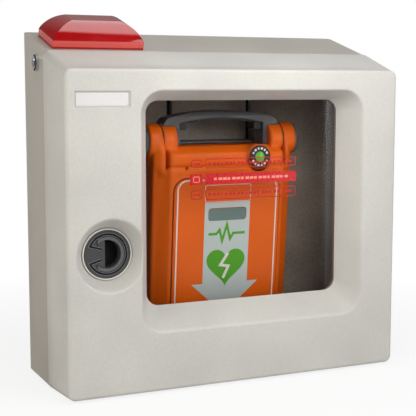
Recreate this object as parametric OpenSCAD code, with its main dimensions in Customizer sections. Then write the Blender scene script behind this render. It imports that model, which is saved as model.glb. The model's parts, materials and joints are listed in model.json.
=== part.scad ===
// Wall cabinet with an alarm beacon and a glazed door, holding a portable defibrillator.
// Millimetres. +Z is up, the front faces -Y, and the wall is the plane Y = 0.
// The origin is the centre of the four wall screws. The modules measure heights from the
// cabinet's underside, and in_frame() lowers them by the height of the screws' centre.

/* [Cabinet] */
// Width of the back box
body_w = 432; // [400:1:480]
// Depth of the back box, from the wall to the door seam
body_d = 95; // [85:1:120]
// Height of the back box at the wall
back_h = 418; // [400:1:450]
// Fall of the roof towards the front, in degrees
roof_slope = 15.9; // [8:0.1:20]
// Thickness of the moulded walls
wall = 3; // [2.5:0.1:4]
// Radius of the upright edges at the wall
edge_r = 6; // [3:0.5:10]
// Width of the frame inside the front edge
flange_w = 12; // [10:0.5:16]

/* [Wall screws] */
// Height of the screws' centre above the underside
screw_centre_z = 200; // [180:1:220]
// Distance between the screws across
screw_dx = 320; // [280:1:360]
// Distance between the screws up and down
screw_dz = 240; // [200:1:280]
// Radius of the screw holes
screw_r = 3.25; // [2.5:0.05:4]

/* [Back panel and cradle] */
// Stand-off of the mounting panel from the back wall
panel_standoff = 4; // [3:0.5:6]
// Thickness of the mounting panel
panel_t = 2; // [1.5:0.1:3]
// Middle of the two upright slots
slot_mid_x = 29; // [10:1:40]
// Distance between the two upright slots
slot_spacing = 114; // [90:1:130]
// Width of each slot
slot_w = 7; // [5:0.5:10]
// Thickness of the cradle's sheet
sheet_t = 1.5; // [1:0.1:2.5]
// Half width of the cradle
cradle_half_w = 70; // [50:1:85]
// Height of the lip above the shelf
lip_h = 9; // [6:0.5:11]

/* [Door] */
// Depth of the door
door_d = 71.5; // [65:0.5:85]
// Width of the door's front face
front_w = 430; // [410:1:432]
// Height of the door's front face
front_h = 372; // [360:1:378]
// Overhang of the door's rim past the back box
rim = 2.5; // [1:0.1:4]
// Gap at the seam
seam_gap = 0.3; // [0.2:0.05:0.6]
// Radius of the front edges
front_edge_r = 4.5; // [3:0.5:6]
// Corner radius of the front face
door_corner_r = 9; // [7:0.5:14]

/* [Window] */
// Distance of the opening from the door's left edge
margin_left = 107; // [103:1:115]
// Distance of the opening from the door's right edge
margin_right = 67; // [60:1:85]
// Distance of the opening from the door's lower edge
margin_bottom = 94.5; // [90:0.5:110]
// Distance of the opening from the door's upper edge
margin_top = 36; // [32:0.5:52]
// Corner radius of the opening
window_r = 15; // [10:0.5:20]
// Width of the bevel at the sides
bevel_side = 18.5; // [14:0.5:20]
// Width of the bevel at the top
bevel_top = 12; // [8:0.5:14]
// Width of the bevel at the bottom
bevel_bottom = 25; // [20:0.5:28]
// Depth of the bevel
bevel_depth = 35; // [30:0.5:38]
// How far the pane runs past the opening
pane_margin = 11; // [9:0.5:12]
// Thickness of the pane
pane_t = 3; // [2:0.1:4]
// Thickness of the pane's gasket
gasket_t = 1.2; // [0.8:0.1:2]
// Thickness of the pane's retaining frame
retainer_t = 4; // [3:0.5:5]

/* [Plate pocket] */
// Distance of the pocket's middle from the door's left edge
pocket_side = 43.5; // [39:0.5:47]
// Distance of the pocket's middle from the door's upper edge
pocket_top = 34; // [30:0.5:42]
// Width of the pocket
pocket_w = 66; // [50:0.5:68]
// Height of the pocket
pocket_h = 19; // [15:0.5:24]
// Depth of the pocket
pocket_d = 2.5; // [1.5:0.1:3]

/* [Latch] */
// Distance of the latch's middle from the door's left edge
latch_side = 53; // [50:0.5:57]
// Middle of the latch up
latch_z = 162.5; // [140:0.5:200]
// Radius of the recess at the door's face
recess_r = 42; // [40:0.5:46]
// Radius of the recess at its floor
recess_floor_r = 30; // [29.5:0.1:32]
// Depth of the recess
recess_depth = 21; // [18:0.5:24]
// Radius of the latch's black face
latch_r = 28.6; // [27:0.1:29.2]
// Thickness of the latch's face
latch_face_t = 3; // [2.5:0.1:4]
// Radius of the latch's barrel
latch_barrel_r = 21.5; // [21.2:0.1:24]
// Length of the latch's barrel behind the face
latch_barrel_l = 28; // [27:0.5:34]
// Outer radius of the pull ring
ring_r = 20.2; // [18:0.1:20.5]
// Radial width of the pull ring
ring_w = 3.6; // [3:0.1:4.5]
// Thickness of the pull ring
ring_t = 3; // [2.5:0.1:3.5]
// Depth of the finger cup
cup_depth = 13; // [10:0.5:14]
// Radius of the ring's pivot pin
ring_pin_r = 1.2; // [1:0.05:1.3]
// Height of the bolt
bolt_h = 12; // [8:0.5:14]
// Thickness of the bolt
bolt_t = 8; // [6:0.5:9]
// How far the pull ring draws the bolt back
bolt_travel = 8; // [5:0.5:10]

/* [Hinges] */
// Height of the lower hinge
hinge_low_z = 85; // [60:1:120]
// Height of the upper hinge
hinge_high_z = 300; // [250:1:310]
// Length of each hinge
hinge_l = 54; // [40:1:60]
// Radius of the hinge barrel
knuckle_r = 5; // [4:0.1:6]
// Radius of the hinge pin
hinge_pin_r = 2.5; // [2:0.1:3]
// Thickness of the hinge leaves
leaf_t = 2; // [1.5:0.1:2.5]
// Width of the hinge leaves
leaf_w = 26; // [20:0.5:30]

/* [Key switch] */
// Distance of the key switch from the wall
key_back = 61; // [50:0.5:68]
// Height of the key switch
key_z = 380; // [370:0.5:385]
// Radius of the outer collar
key_collar_r = 9.6; // [9:0.1:11]
// How far the collar stands out
key_collar_t = 4.5; // [3:0.1:6]
// Radius of the threaded barrel
key_barrel_r = 8; // [7:0.1:8.5]
// Length of the barrel inside the cabinet
key_barrel_l = 26; // [20:0.5:30]
// Radius of the turning plug
key_plug_r = 5; // [4:0.1:6]

/* [Beacon] */
// Distance of the beacon's middle from the cabinet's left side
beacon_side = 70; // [62:0.5:76]
// Distance of the beacon's middle from the wall
beacon_back = 48.75; // [46:0.25:52]
// Length of the beacon across
beacon_w = 112; // [100:0.5:116]
// Width of the beacon along the slope
beacon_l = 63; // [56:0.5:66]
// Thickness of the base plate
beacon_base_t = 2; // [1.5:0.1:3]
// Height of the lens skirt
skirt_h = 9; // [8:0.1:12]
// Height of the dome above the skirt
dome_h = 19.5; // [17:0.5:22]
// How far the dome draws in to its flat top
dome_inset = 22; // [20:0.5:24]
// Slope of the dome at the skirt, in degrees
dome_start = 76; // [70:0.5:80]
// Thickness of the lens
lens_t = 2.5; // [2:0.1:3]

/* [Defibrillator] */
// Middle of the defibrillator across
aed_x = 12.5; // [0:0.5:20]
// Height of its foot above the cabinet's underside
aed_foot_z = 22; // [18:0.5:28]
// Half width of the orange case
case_half_w = 94; // [90:0.5:94]
// Half width of the grey rear case
rear_half_w = 96; // [94.5:0.5:98]
// Height of the rear case
rear_h = 261; // [257:0.5:264]
// Height of the front case behind the lid
front_case_h = 252; // [248:0.5:255]
// Depth of the rear case
rear_d = 38; // [34:0.5:40]
// Depth of the front case behind the lid
front_d = 12; // [10:0.5:12.5]
// Corner radius of the cases
case_r = 18; // [12:0.5:24]
// Thickness of the case walls
case_t = 3; // [2:0.1:4]
// Slope of the lid's front, in degrees
lid_slope = 5; // [3:0.1:7]
// Depth of the lid's front at mid height, from the back
lid_mid_d = 84; // [82:0.5:88]
// Height at which that depth is taken
lid_mid_h = 134; // [120:1:150]
// Height of the lid's lower edge
lid_foot_h = 14; // [12:0.5:20]
// Gap between the lid and the case
lid_gap = 0.6; // [0.4:0.05:1]
// Depth of the hinge ears' axis
ear_d = 61.5; // [60:0.5:64]
// Height of the hinge ears' axis
ear_h = 263.5; // [261:0.5:266]
// Radius of the hinge ears
ear_r = 21.5; // [20:0.25:22.5]
// Inner side of the fixed ears
ear_in = 64; // [60:0.5:67]
// Seam between the fixed ears and the lid's ears
ear_seam = 82; // [80:0.5:86]
// Outer side of the lid's ears
ear_out = 99.5; // [97:0.5:102]
// Thickness of the ear caps
ear_cap_t = 7; // [4:0.5:8]
// Radius of the lid's hinge pins
lid_pin_r = 5; // [4:0.1:6]
// Half width of the raised front panel
panel_half_w = 72; // [66:0.5:74]
// Height of the raised front panel's top
panel_top_h = 219; // [212:0.5:220]
// Rise of the front panel
panel_rise = 1.5; // [1:0.1:2.5]
// Overall height with the handle
handle_top_h = 301; // [298:0.5:304]
// Thickness of the handle
handle_t = 9; // [8:0.5:12]
// Depth of the handle
handle_d = 26; // [22:0.5:28]
// Distance of the indicator from the middle
indicator_x = 42; // [36:0.5:44]
// Height of the indicator
indicator_h = 243; // [240:0.5:248]
// Radius of the indicator's bezel
indicator_r = 14.5; // [12:0.1:15]
// Radius of the indicator's lens
indicator_lens_r = 6.5; // [5:0.1:8]
// Radius of the shock button
button_r = 13; // [10:0.5:15]
// Travel of the shock button
button_travel = 2; // [1:0.1:2.5]

/* [Clearances] */
// Running clearance of pins and plugs, on the radius
run_gap = 0.05; // [0.03:0.01:0.08]
// Clearance of seated pieces
seat_gap = 0.1; // [0.05:0.01:0.2]
// Clearance between a moving piece and its neighbour
move_gap = 0.4; // [0.3:0.05:0.6]

/* [Hidden] */
$fn = 64;
// Overshoot of cutting solids
cut = 1;
// Facets of the circles under a hull
hull_fn = 32;

// Thickness of the outlines that a loft is stretched between
loft_t = 0.01;

// The roof, the seam and the door's planes
roof_rise = tan(roof_slope);
function roof_z(y) = back_h + y * roof_rise;
wall_up = wall / cos(roof_slope);
seam_y = -body_d;
seam_h = roof_z(seam_y);
rim_y = seam_y - seam_gap;
front_y = rim_y - door_d;
inner_x = body_w / 2 - wall;
rim_x = body_w / 2 + rim;
door_draft = atan((rim_x - front_w / 2) / (door_d - front_edge_r));
inner_draft = atan((rim_x - front_w / 2) / (door_d - wall - front_edge_r));
sensor_z = 261;
sensor_l = 28;
reed_w = 8;
reed_d = 12;
magnet_w = 6;
magnet_d = 10;
magnet_back = 6;
cable_hole_r = 6;

// The mounting panel and the cradle
panel_front = wall + panel_standoff + panel_t;
panel_edge_gap = 5;
panel_top_gap = 8;
slot_foot = 60;
slot_top_gap = 12;
standoff_r = 3 * screw_r;
cradle_back_h = 70;
gusset_h = 14;

// The glazing, from the bevel's end towards the wall
window = [-front_w / 2 + margin_left, front_w / 2 - margin_right, margin_bottom, front_h - margin_top];
bevel_end_y = front_y + bevel_depth;
gasket_y = bevel_end_y + gasket_t;
pane_y = gasket_y + pane_t;
retainer_y = pane_y + retainer_t;
frame_lip = 3;
gasket_step = 0.4;
retainer_step = 2;
pocket_r = 2;

// Inner face of the door's side walls at a depth y
function door_inner_x(y) = rim_x - wall - (rim_y - y) * tan(inner_draft);

// The plate pocket and the latch
pocket_x = -front_w / 2 + pocket_side;
pocket_z = front_h - pocket_top;
latch_x = -front_w / 2 + latch_side;
recess_floor_y = front_y + recess_depth;
face_y = recess_floor_y - latch_face_t;
ring_pivot_x = latch_x - ring_r / 2;
ring_front_y = face_y + seat_gap;
ring_pivot_y = ring_front_y + 0.6 * ring_t;
ring_mid_r = ring_r - ring_w / 2;
lug_z = sqrt(pow(ring_mid_r, 2) - pow(ring_r / 2, 2));
lug_r = 0.7 * ring_t;
lug_end_z = sqrt(pow(latch_barrel_r - move_gap, 2) - pow(ring_r / 2 + lug_r, 2));
lug_l = 2 * (lug_end_z - lug_z);
pin_end_z = sqrt(pow(latch_barrel_r - move_gap, 2) - pow(ring_r / 2 + ring_pin_r, 2));
face_chamfer = 0.8;
cup_left = 3;
latch_nut_w = 6.5;
latch_nut_t = 6;
cup_r = ring_r - ring_w - move_gap;
bolt_back = 4;
bolt_tail = 4;
bolt_y = recess_floor_y + latch_barrel_l - bolt_t - bolt_back;
bolt_tail_x = latch_x + bolt_tail;
bolt_nose = 1;
bolt_slack = 0.2;
spring_solid_l = 4;
spring_l = bolt_travel + spring_solid_l;
keeper_t = 3;
keeper_lip_max = 7;
keeper_y = bolt_y - move_gap - keeper_t;
keeper_x = -min(inner_x, door_inner_x(keeper_y) - seat_gap);
keeper_lip = min(keeper_lip_max, (latch_x - latch_barrel_r - keeper_x) / 3);
bolt_tip_x = keeper_x + keeper_lip;
strike_t = 2;
strike_x = keeper_x + strike_t;
strike_margin = 9;
strike_half_h = bolt_h / 2 + strike_margin;
keeper_foot_x = -inner_x + flange_w - 1;

// The bolt's spring
spring_turns = 5;
spring_steps = 12;
spring_sides = 8;
spring_wire_r = 0.5;
spring_coil_r = bolt_t / 2 - spring_wire_r - move_gap;
spring_rings = spring_turns * spring_steps;
spring_lead = spring_l - 2 * spring_wire_r - 2 * seat_gap;

// The hinges
hinge_heights = [hinge_low_z, hinge_high_z];
knuckle_out = 0.5;
leaf_inset = 2;
web_t = 3;
pin_head_t = 2;
hinge_x = rim_x + knuckle_r + knuckle_out;
hinge_y = seam_y - seam_gap / 2;
knuckle_l = hinge_l / 3;

// The key switch
key_y = -key_back;
key_side_x = -body_w / 2;
key_out_x = key_side_x - key_collar_t;
key_end_x = key_side_x + key_barrel_l;
key_chamfer = 1.5;
key_end_t = 2;
key_nut_t = 5;
key_proud = 0.6;
key_slot_d = 8;
key_slot_w = 1.8;
key_slot_h = 7;
contact_half = 9;
contact_t = 9;
tag_l = 6;
tag_t = 1;
tag_spacing = 10;

// The beacon's place and inner pieces
beacon_x = -body_w / 2 + beacon_side;
base_step_h = 3;
reflector_l = 68;
reflector_w = 34;
reflector_h = 12;
bowl_r = 11;
bowl_wall = 4;
bowl_rise = 2;
tube_r = 3;
tube_l = 66;
tube_h = 10;
wire_hole_r = 2;

// The alarm unit on the left wall
alarm_w = 48;
alarm_d = 56;
alarm_h = 54;
alarm_t = 2;
alarm_back = 30;
alarm_z = 292;
alarm_pos = [-inner_x, -alarm_back - alarm_d, alarm_z];
board_t = 1.6;
alarm_board_x = 36;
cell_w = 17;
cell_d = 26;
cell_h = 46;
siren_r = 15;
siren_h = 9;
siren_mouth_r = 9;
siren_mouth_h = 4;
grille_l = 20;
grille_w = 3;
grille_pitch = 6;

// The defibrillator's planes, as depths from its back and heights from its foot
aed_back = panel_front + sheet_t + move_gap;
split_d = rear_d + front_d;
lid_back_d = split_d + lid_gap;
function lid_d(h) = lid_mid_d + (h - lid_mid_h) * tan(lid_slope);
lid_top_drop = 22;
lid_top_h = ear_h - lid_top_drop;
chin_set = 1;
chin_d = lid_d(lid_foot_h) - chin_set;
// The lid's lower back edge dips a little as it swings open
chin_gap = norm([ear_d - lid_back_d, ear_h - lid_foot_h]) - (ear_h - lid_foot_h) + move_gap;
// The brow stays within brow_reach of the ears' axis, so that the lid's edge swings past it
brow_reach = 42;
brow_drop = 3.5;
brow_top_h = rear_h - brow_drop;
brow_slope = 35;
brow_notch = 5;
brow_half_w = ear_seam - brow_notch;
ridge_d = ear_d + 28.5;
ridge_h = ear_h - 15.5;
ear_root_h = brow_reach / 2;
boss_margin = 1.2;
boss_rise = 4;
boss_front_d = ridge_d + boss_rise;
bezel_t = 3;
bezel_proud = 1.5;
indicator_dome_r = 17.6;
indicator_crown = 2.6;
// Farthest reach of the indicator and its boss from the ears' axis, which the lid's edge dips round
bezel_reach = norm([boss_front_d + bezel_proud - ear_d, ear_h - indicator_h + indicator_r]);
boss_reach = norm([boss_front_d - ear_d, ear_h - indicator_h + indicator_r + boss_margin]);
dip_reach = max(bezel_reach, boss_reach) + move_gap;
dip_r = 19.7;

// The handle and its soft grip
handle_gap = 9;
handle_back = rear_d + handle_gap;
handle_half_w = ear_seam - 0.5;
handle_post_w = 24;
handle_arch_r = 300;
handle_under_r = 240;
handle_corner_r = 30;
handle_inner_r = 8;
handle_edge_r = 8;
grip_half_w = handle_half_w - handle_post_w - 3;
grip_t = 2.5;
grip_inset = 4;
hook_w = 10;
hook_drop = 9;
hook_r = 3;

// Under the lid
deck_t = 2.4;
deck_d = split_d + deck_t;
deck_half_w = 84;
deck_h0 = 22;
deck_top_gap = 10;
deck_h1 = ear_h - brow_reach - deck_top_gap;
deck_r = 8;
button_x = -45;
button_h = 172;
button_head_t = 5.6;
stem_r = 5;
stem_hole_set = 1;
screen_half_w = 26;
screen_h0 = 160;
screen_h1 = 186;
screen_t = 14;
screen_r = 2;
pouch_half_w = 70;
pouch_h0 = 30;
pouch_h1 = 148;
pouch_t = 10;
pouch_r = 8;

// Inside the cases
board_d = 30;
board_x = -80;
board_h = 122;
board_w = 100;
board_l = 128;
post_inset = 10;
post_r = 4;
battery_half_w = 58;
battery_h0 = 30;
battery_h1 = 112;
battery_d = 26;
battery_lip = 3;
battery_set = 0.5;
battery_r = 6;
capacitor_r = 12.5;
capacitor_x = -66;
capacitor_l = 70;
capacitor_h = 180;
speaker_x = 56;
speaker_h = 190;
speaker_r = 22;
speaker_t = 11;
cone_r = 17;
cone_d = 4;
bumper_t = 2.5;
bumper_h0 = 52;
bumper_l = 66;
bumper_pitch = 86;
bumper_inset = 7;
bumper_r = 1.2;

// The lid's front: its side facets, raised panel, window and sounder hole
facet_w = 17;
facet_d = 15;
foot_chamfer = 5;
foot_chamfer_h = 6;
panel_foot = 12;
panel_r = 16;
lid_window_half_w = 26;
lid_window_l = 16;
lid_window_v = 165;
lid_window_r = 4;
lid_window_set = 0.3;
arm_drop = 9;
arm_in = 3.5;
arm_r = 3;
hole_x = -56.5;
hole_r = 1.5;
hole_drop = 4.5;
lid_edge_h = ear_h - sqrt(pow(brow_reach + move_gap, 2) - pow(lid_d(lid_top_h) - ear_d, 2));
cap_chamfer = 2;
cap_taper = 4;
pin_set = 4;
pin_end_set = 3;
bore_lead = 5;

// Places
module in_frame() translate([0, 0, -screw_centre_z]) children();
module at_aed() translate([aed_x, -aed_back, aed_foot_z]) children();
module on_roof() translate([beacon_x, -beacon_back, roof_z(-beacon_back)]) rotate([roof_slope, 0, 0])
    translate([0, 0, run_gap]) children();
module at_screws() for (x = [-1, 1], z = [-1, 1])
    translate([x * screw_dx / 2, 0, screw_centre_z + z * screw_dz / 2]) children();
module both_sides() {
    children();
    mirror([1, 0, 0]) children();
}

// Extrudes a (y, z) outline along X from x0 to x1
module along_x(x0, x1) translate([x0, 0, 0]) rotate([90, 0, 90]) linear_extrude(x1 - x0) children();
// Extrudes an (x, z) outline along Y from y0 to y1
module along_y(y0, y1) translate([0, y1, 0]) rotate([90, 0, 0]) linear_extrude(y1 - y0) children();
// A rod along X, Y or Z
module rod_x(x0, x1, y, z, r) translate([x0, y, z]) rotate([0, 90, 0]) cylinder(r = r, h = x1 - x0);
module rod_y(y0, y1, x, z, r) translate([x, y1, z]) rotate([90, 0, 0]) cylinder(r = r, h = y1 - y0);
module rod_z(z0, z1, x, y, r) translate([x, y, z0]) cylinder(r = r, h = z1 - z0);
// A box between two corners
module block(lo, hi) translate(lo) cube(hi - lo);
// A rectangle with round corners
module rounded(x0, x1, z0, z1, r) {
    translate([x0 + r, z0]) square([x1 - x0 - 2 * r, z1 - z0]);
    translate([x0, z0 + r]) square([x1 - x0, z1 - z0 - 2 * r]);
    for (x = [x0 + r, x1 - r], z = [z0 + r, z1 - r]) translate([x, z]) circle(r);
}
// The same outline as a thin slab, for lofts
module slab(x0, x1, z0, z1, r, y) along_y(y, y + loft_t) rounded(x0, x1, z0, z1, r, $fn = hull_fn);
// The window's outline, grown by a margin
module window_outline(m) rounded(window[0] - m, window[1] + m, window[2] - m, window[3] + m, window_r + m);

// Cabinet
module body_profile(t, front) {
    up = t / cos(roof_slope);
    polygon([[-t, t], [-t, roof_z(-t) - up], [front, roof_z(front) - up], [front, t]]);
}

module cabinet_shell() color([0.80, 0.79, 0.76]) difference() {
    intersection() {
        along_x(-body_w / 2, body_w / 2) body_profile(0, seam_y);
        linear_extrude(back_h + cut)
            translate([0, seam_y]) rounded(-body_w / 2, body_w / 2, -2 * edge_r, body_d, edge_r);
    }
    along_x(-inner_x, inner_x) body_profile(wall, seam_y - cut);
    at_screws() rod_y(-wall - cut, cut, 0, 0, screw_r);
    rod_x(key_side_x - cut, key_side_x + wall + cut, key_y, key_z, key_barrel_r + seat_gap);
    on_roof() rod_z(-2 * wall, cut, 0, 0, cable_hole_r);
}

// Frame inside the front edge: two uprights, with a foot bar and a head bar between them
module front_frame() color([0.80, 0.79, 0.76]) {
    frame_back = seam_y + wall;
    head = seam_h - wall_up;
    head_back = roof_z(frame_back) - wall_up;
    bar_x = inner_x - flange_w - seat_gap;
    both_sides() along_x(inner_x - flange_w, inner_x)
        polygon([[seam_y, wall], [frame_back, wall], [frame_back, head_back], [seam_y, head]]);
    block([-bar_x, seam_y, wall], [bar_x, frame_back, wall + flange_w]);
    along_x(-bar_x, bar_x) polygon([[seam_y, head - flange_w], [frame_back, head - flange_w],
        [frame_back, head_back], [seam_y, head]]);
}

module back_panel() color([0.45, 0.44, 0.43]) {
    y_back = -wall - panel_standoff;
    top = roof_z(-panel_front) - wall_up - panel_top_gap;
    side = inner_x - panel_edge_gap;
    difference() {
        union() {
            along_y(-panel_front, y_back) rounded(-side, side, wall + panel_edge_gap, top, edge_r);
            at_screws() rod_y(y_back - panel_t / 2, -wall, 0, 0, standoff_r);
        }
        at_screws() rod_y(-panel_front - cut, 0, 0, 0, screw_r);
        for (s = [-1, 1]) along_y(-panel_front - cut, y_back + cut)
            translate([slot_mid_x + s * slot_spacing / 2, 0])
                rounded(-slot_w / 2, slot_w / 2, wall + slot_foot, top - slot_top_gap, slot_w / 2 - loft_t);
    }
}

module aed_cradle() color([0.55, 0.55, 0.56]) {
    shelf_z = aed_foot_z - move_gap;
    lip_y = -aed_back - chin_d - move_gap;
    back_y = -panel_front - sheet_t;
    side = [[-panel_front, shelf_z - sheet_t], [-panel_front, shelf_z + cradle_back_h],
        [back_y, shelf_z + cradle_back_h], [back_y, shelf_z], [lip_y, shelf_z], [lip_y, shelf_z + lip_h],
        [lip_y - sheet_t, shelf_z + lip_h], [lip_y - sheet_t, shelf_z - sheet_t]];
    along_x(aed_x - cradle_half_w, aed_x + cradle_half_w) polygon(side);
    for (s = [-1, 1]) {
        x = aed_x + s * (cradle_half_w - sheet_t / 2);
        along_x(x - sheet_t / 2, x + sheet_t / 2)
            polygon([[-panel_front, shelf_z - gusset_h], [-panel_front, shelf_z - sheet_t / 2],
                [lip_y, shelf_z - sheet_t / 2]]);
    }
}

// Hinges
module hinge_body_leaves() color([0.62, 0.62, 0.63]) for (z = hinge_heights) difference() {
    union() {
        block([body_w / 2, hinge_y + leaf_inset, z - hinge_l / 2],
            [body_w / 2 + leaf_t, hinge_y + leaf_inset + leaf_w, z + hinge_l / 2]);
        for (k = [-1, 1]) {
            z0 = z + k * knuckle_l - knuckle_l / 2;
            rod_z(z0 + move_gap / 2, z0 + knuckle_l - move_gap / 2, hinge_x, hinge_y, knuckle_r);
            block([body_w / 2, hinge_y + leaf_inset / 2, z0 + move_gap / 2],
                [hinge_x, hinge_y + leaf_inset / 2 + web_t, z0 + knuckle_l - move_gap / 2]);
        }
    }
    rod_z(z - hinge_l, z + hinge_l, hinge_x, hinge_y, hinge_pin_r + run_gap / 2);
}

module hinge_pins() color([0.72, 0.72, 0.74]) for (z = hinge_heights) {
    rod_z(z - hinge_l / 2, z + hinge_l / 2, hinge_x, hinge_y, hinge_pin_r);
    rod_z(z + hinge_l / 2, z + hinge_l / 2 + pin_head_t, hinge_x, hinge_y, (hinge_pin_r + 3 * knuckle_r) / 4);
}

module hinge_door_leaves() color([0.62, 0.62, 0.63]) for (z = hinge_heights) difference() {
    union() {
        translate([rim_x + seat_gap, rim_y, z - knuckle_l / 2 + move_gap / 2]) rotate([0, 0, -door_draft]) {
            translate([0, -leaf_w - leaf_inset, 0]) cube([leaf_t, leaf_w, knuckle_l - move_gap]);
            translate([0, -leaf_inset - web_t, 0]) cube([hinge_x - rim_x, web_t, knuckle_l - move_gap]);
        }
        rod_z(z - knuckle_l / 2 + move_gap / 2, z + knuckle_l / 2 - move_gap / 2, hinge_x, hinge_y, knuckle_r);
    }
    rod_z(z - hinge_l, z + hinge_l, hinge_x, hinge_y, hinge_pin_r + run_gap);
}

// Keeper for the latch bolt, standing forward from the front frame
module strike_bracket() color([0.70, 0.70, 0.72]) {
    lip_x = bolt_tip_x - move_gap;
    foot_x = max(keeper_foot_x, strike_x);
    foot_y = seam_y - strike_t;
    plan = [[keeper_x, seam_y], [keeper_x, keeper_y], [lip_x, keeper_y], [lip_x, keeper_y + keeper_t],
        [strike_x, keeper_y + keeper_t], [strike_x, foot_y], [foot_x, foot_y], [foot_x, seam_y]];
    translate([0, 0, latch_z - strike_half_h]) linear_extrude(2 * strike_half_h) polygon(plan);
}

// Key switch in the left side
module key_switch_barrel() color([0.80, 0.80, 0.82]) difference() {
    union() {
        translate([key_out_x, key_y, key_z]) rotate([0, 90, 0])
            cylinder(r1 = key_collar_r - key_chamfer, r2 = key_collar_r, h = key_chamfer);
        rod_x(key_out_x + key_chamfer, key_side_x, key_y, key_z, key_collar_r);
        rod_x(key_side_x - cut, key_end_x, key_y, key_z, key_barrel_r);
    }
    rod_x(key_out_x - cut, key_end_x - key_end_t, key_y, key_z, key_plug_r + run_gap);
}

module key_switch_nut() color([0.70, 0.70, 0.72]) difference() {
    translate([key_side_x + wall, key_y, key_z]) rotate([0, 90, 0])
        cylinder(r = key_barrel_r * 1.5, h = key_nut_t, $fn = 6);
    rod_x(key_side_x, key_end_x, key_y, key_z, key_barrel_r + seat_gap);
}

module key_switch_contacts() color([0.15, 0.15, 0.16]) {
    block([key_end_x, key_y - contact_half, key_z - contact_half],
        [key_end_x + contact_t, key_y + contact_half, key_z + contact_half]);
    for (s = [-1, 1])
        translate([key_end_x + contact_t, key_y + (s * tag_spacing - tag_t) / 2, key_z - tag_l / 2])
            cube([tag_l, tag_t, tag_l]);
}

module key_plug() color([0.75, 0.75, 0.77]) difference() {
    rod_x(key_out_x - key_proud, key_end_x - key_end_t - move_gap, key_y, key_z, key_plug_r);
    translate([key_out_x - cut, key_y - key_slot_w / 2, key_z - key_slot_h / 2])
        cube([key_slot_d + cut, key_slot_w, key_slot_h]);
}

// Beacon: a hipped dome, where two loaf-shaped profiles cross. Each profile's upper edges are arcs that
// start at the skirt at dome_start degrees and end on the flat top, dome_inset further in.
module loaf(half, t) {
    rise = dome_h - t;
    half_turn = dome_start - atan2(rise, dome_inset);
    r = norm([rise, dome_inset]) / (2 * sin(half_turn));
    arc_x = half - r * sin(dome_start);
    intersection() {
        translate([-half, 0]) square([2 * half, skirt_h + rise]);
        union() {
            for (s = [-1, 1]) translate([s * arc_x, skirt_h - r * cos(dome_start)]) circle(r);
            translate([-arc_x, 0]) square([2 * arc_x, skirt_h + rise]);
        }
    }
}
module dome(t) intersection() {
    rotate([90, 0, 0]) linear_extrude(beacon_l, center = true) loaf(beacon_w / 2 - t, t);
    rotate([90, 0, 90]) linear_extrude(beacon_w, center = true) loaf(beacon_l / 2 - t, t);
}

module beacon_base() color([0.55, 0.08, 0.08]) on_roof() difference() {
    union() {
        translate([-beacon_w / 2, -beacon_l / 2, 0]) cube([beacon_w, beacon_l, beacon_base_t]);
        m = lens_t + seat_gap;
        translate([-beacon_w / 2 + m, -beacon_l / 2 + m, 0])
            cube([beacon_w - 2 * m, beacon_l - 2 * m, beacon_base_t + base_step_h]);
    }
    rod_z(-cut, beacon_base_t + base_step_h + cut, 0, 0, cable_hole_r);
}

module beacon_lens() color([0.80, 0.02, 0.04]) on_roof() translate([0, 0, beacon_base_t]) difference() {
    dome(0);
    translate([0, 0, -loft_t]) dome(lens_t);
}

module on_base() on_roof() translate([0, 0, beacon_base_t + base_step_h]) children();
module beacon_reflector() color([0.9, 0.9, 0.92]) on_base() difference() {
    half_l = reflector_l / 2;
    seat_r = tube_r + seat_gap;
    translate([-half_l, -reflector_w / 2, 0]) cube([reflector_l, reflector_w, reflector_h]);
    rod_x(-half_l + bowl_wall, half_l - bowl_wall, 0, reflector_h + bowl_rise, bowl_r);
    rod_x(-half_l - cut, half_l + cut, 0, tube_h, seat_r);
    block([-half_l - cut, -seat_r, tube_h], [half_l + cut, seat_r, reflector_h + cut]);
    rod_z(-cut, reflector_h, 0, 0, wire_hole_r);
}

module strobe_tube() color([0.9, 0.9, 0.85]) on_base() rod_x(-tube_l / 2, tube_l / 2, 0, tube_h, tube_r);

// Alarm unit
module alarm_case() color([0.22, 0.22, 0.23]) translate(alarm_pos) difference() {
    cube([alarm_w, alarm_d, alarm_h]);
    translate([-cut, alarm_t, alarm_t])
        cube([alarm_w - alarm_t + cut, alarm_d - 2 * alarm_t, alarm_h - 2 * alarm_t]);
    for (i = [-2:2]) translate([grille_l, alarm_d / 2 + i * grille_pitch - grille_w / 2, -cut])
        cube([grille_l, grille_w, alarm_t + 2 * cut]);
}

module alarm_board() color([0.10, 0.30, 0.16]) translate(alarm_pos)
    translate([alarm_board_x, alarm_t, alarm_t]) cube([board_t, alarm_d - 2 * alarm_t, alarm_h - 2 * alarm_t]);

module alarm_battery() color([0.25, 0.25, 0.28]) translate(alarm_pos) translate([seat_gap, alarm_t, alarm_t])
    cube([cell_w, cell_d, cell_h]);

module alarm_siren() color([0.1, 0.1, 0.1]) translate(alarm_pos)
    translate([1.5 * grille_l, alarm_d / 2, -siren_h]) difference() {
        cylinder(r = siren_r, h = siren_h);
        translate([0, 0, -cut]) cylinder(r = siren_mouth_r, h = siren_mouth_h + cut);
    }

module reed_switch() color([0.85, 0.85, 0.82])
    translate([-inner_x, seam_y + wall, sensor_z - sensor_l / 2]) cube([reed_w, reed_d, sensor_l]);

// Door
module door_loft(t, y_back, y_front, r_edge) {
    steps = 4;
    z_top = seam_h + rim;
    hull() {
        slab(-rim_x + t, rim_x - t, -rim + t, z_top - t, door_corner_r - t, y_back);
        for (k = [0:steps]) {
            a = 90 * k / steps;
            m = t + r_edge * (1 - cos(a));
            slab(-front_w / 2 + m, front_w / 2 - m, m, front_h - m, door_corner_r - t,
                y_front + r_edge * (1 - sin(a)));
        }
    }
}

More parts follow.
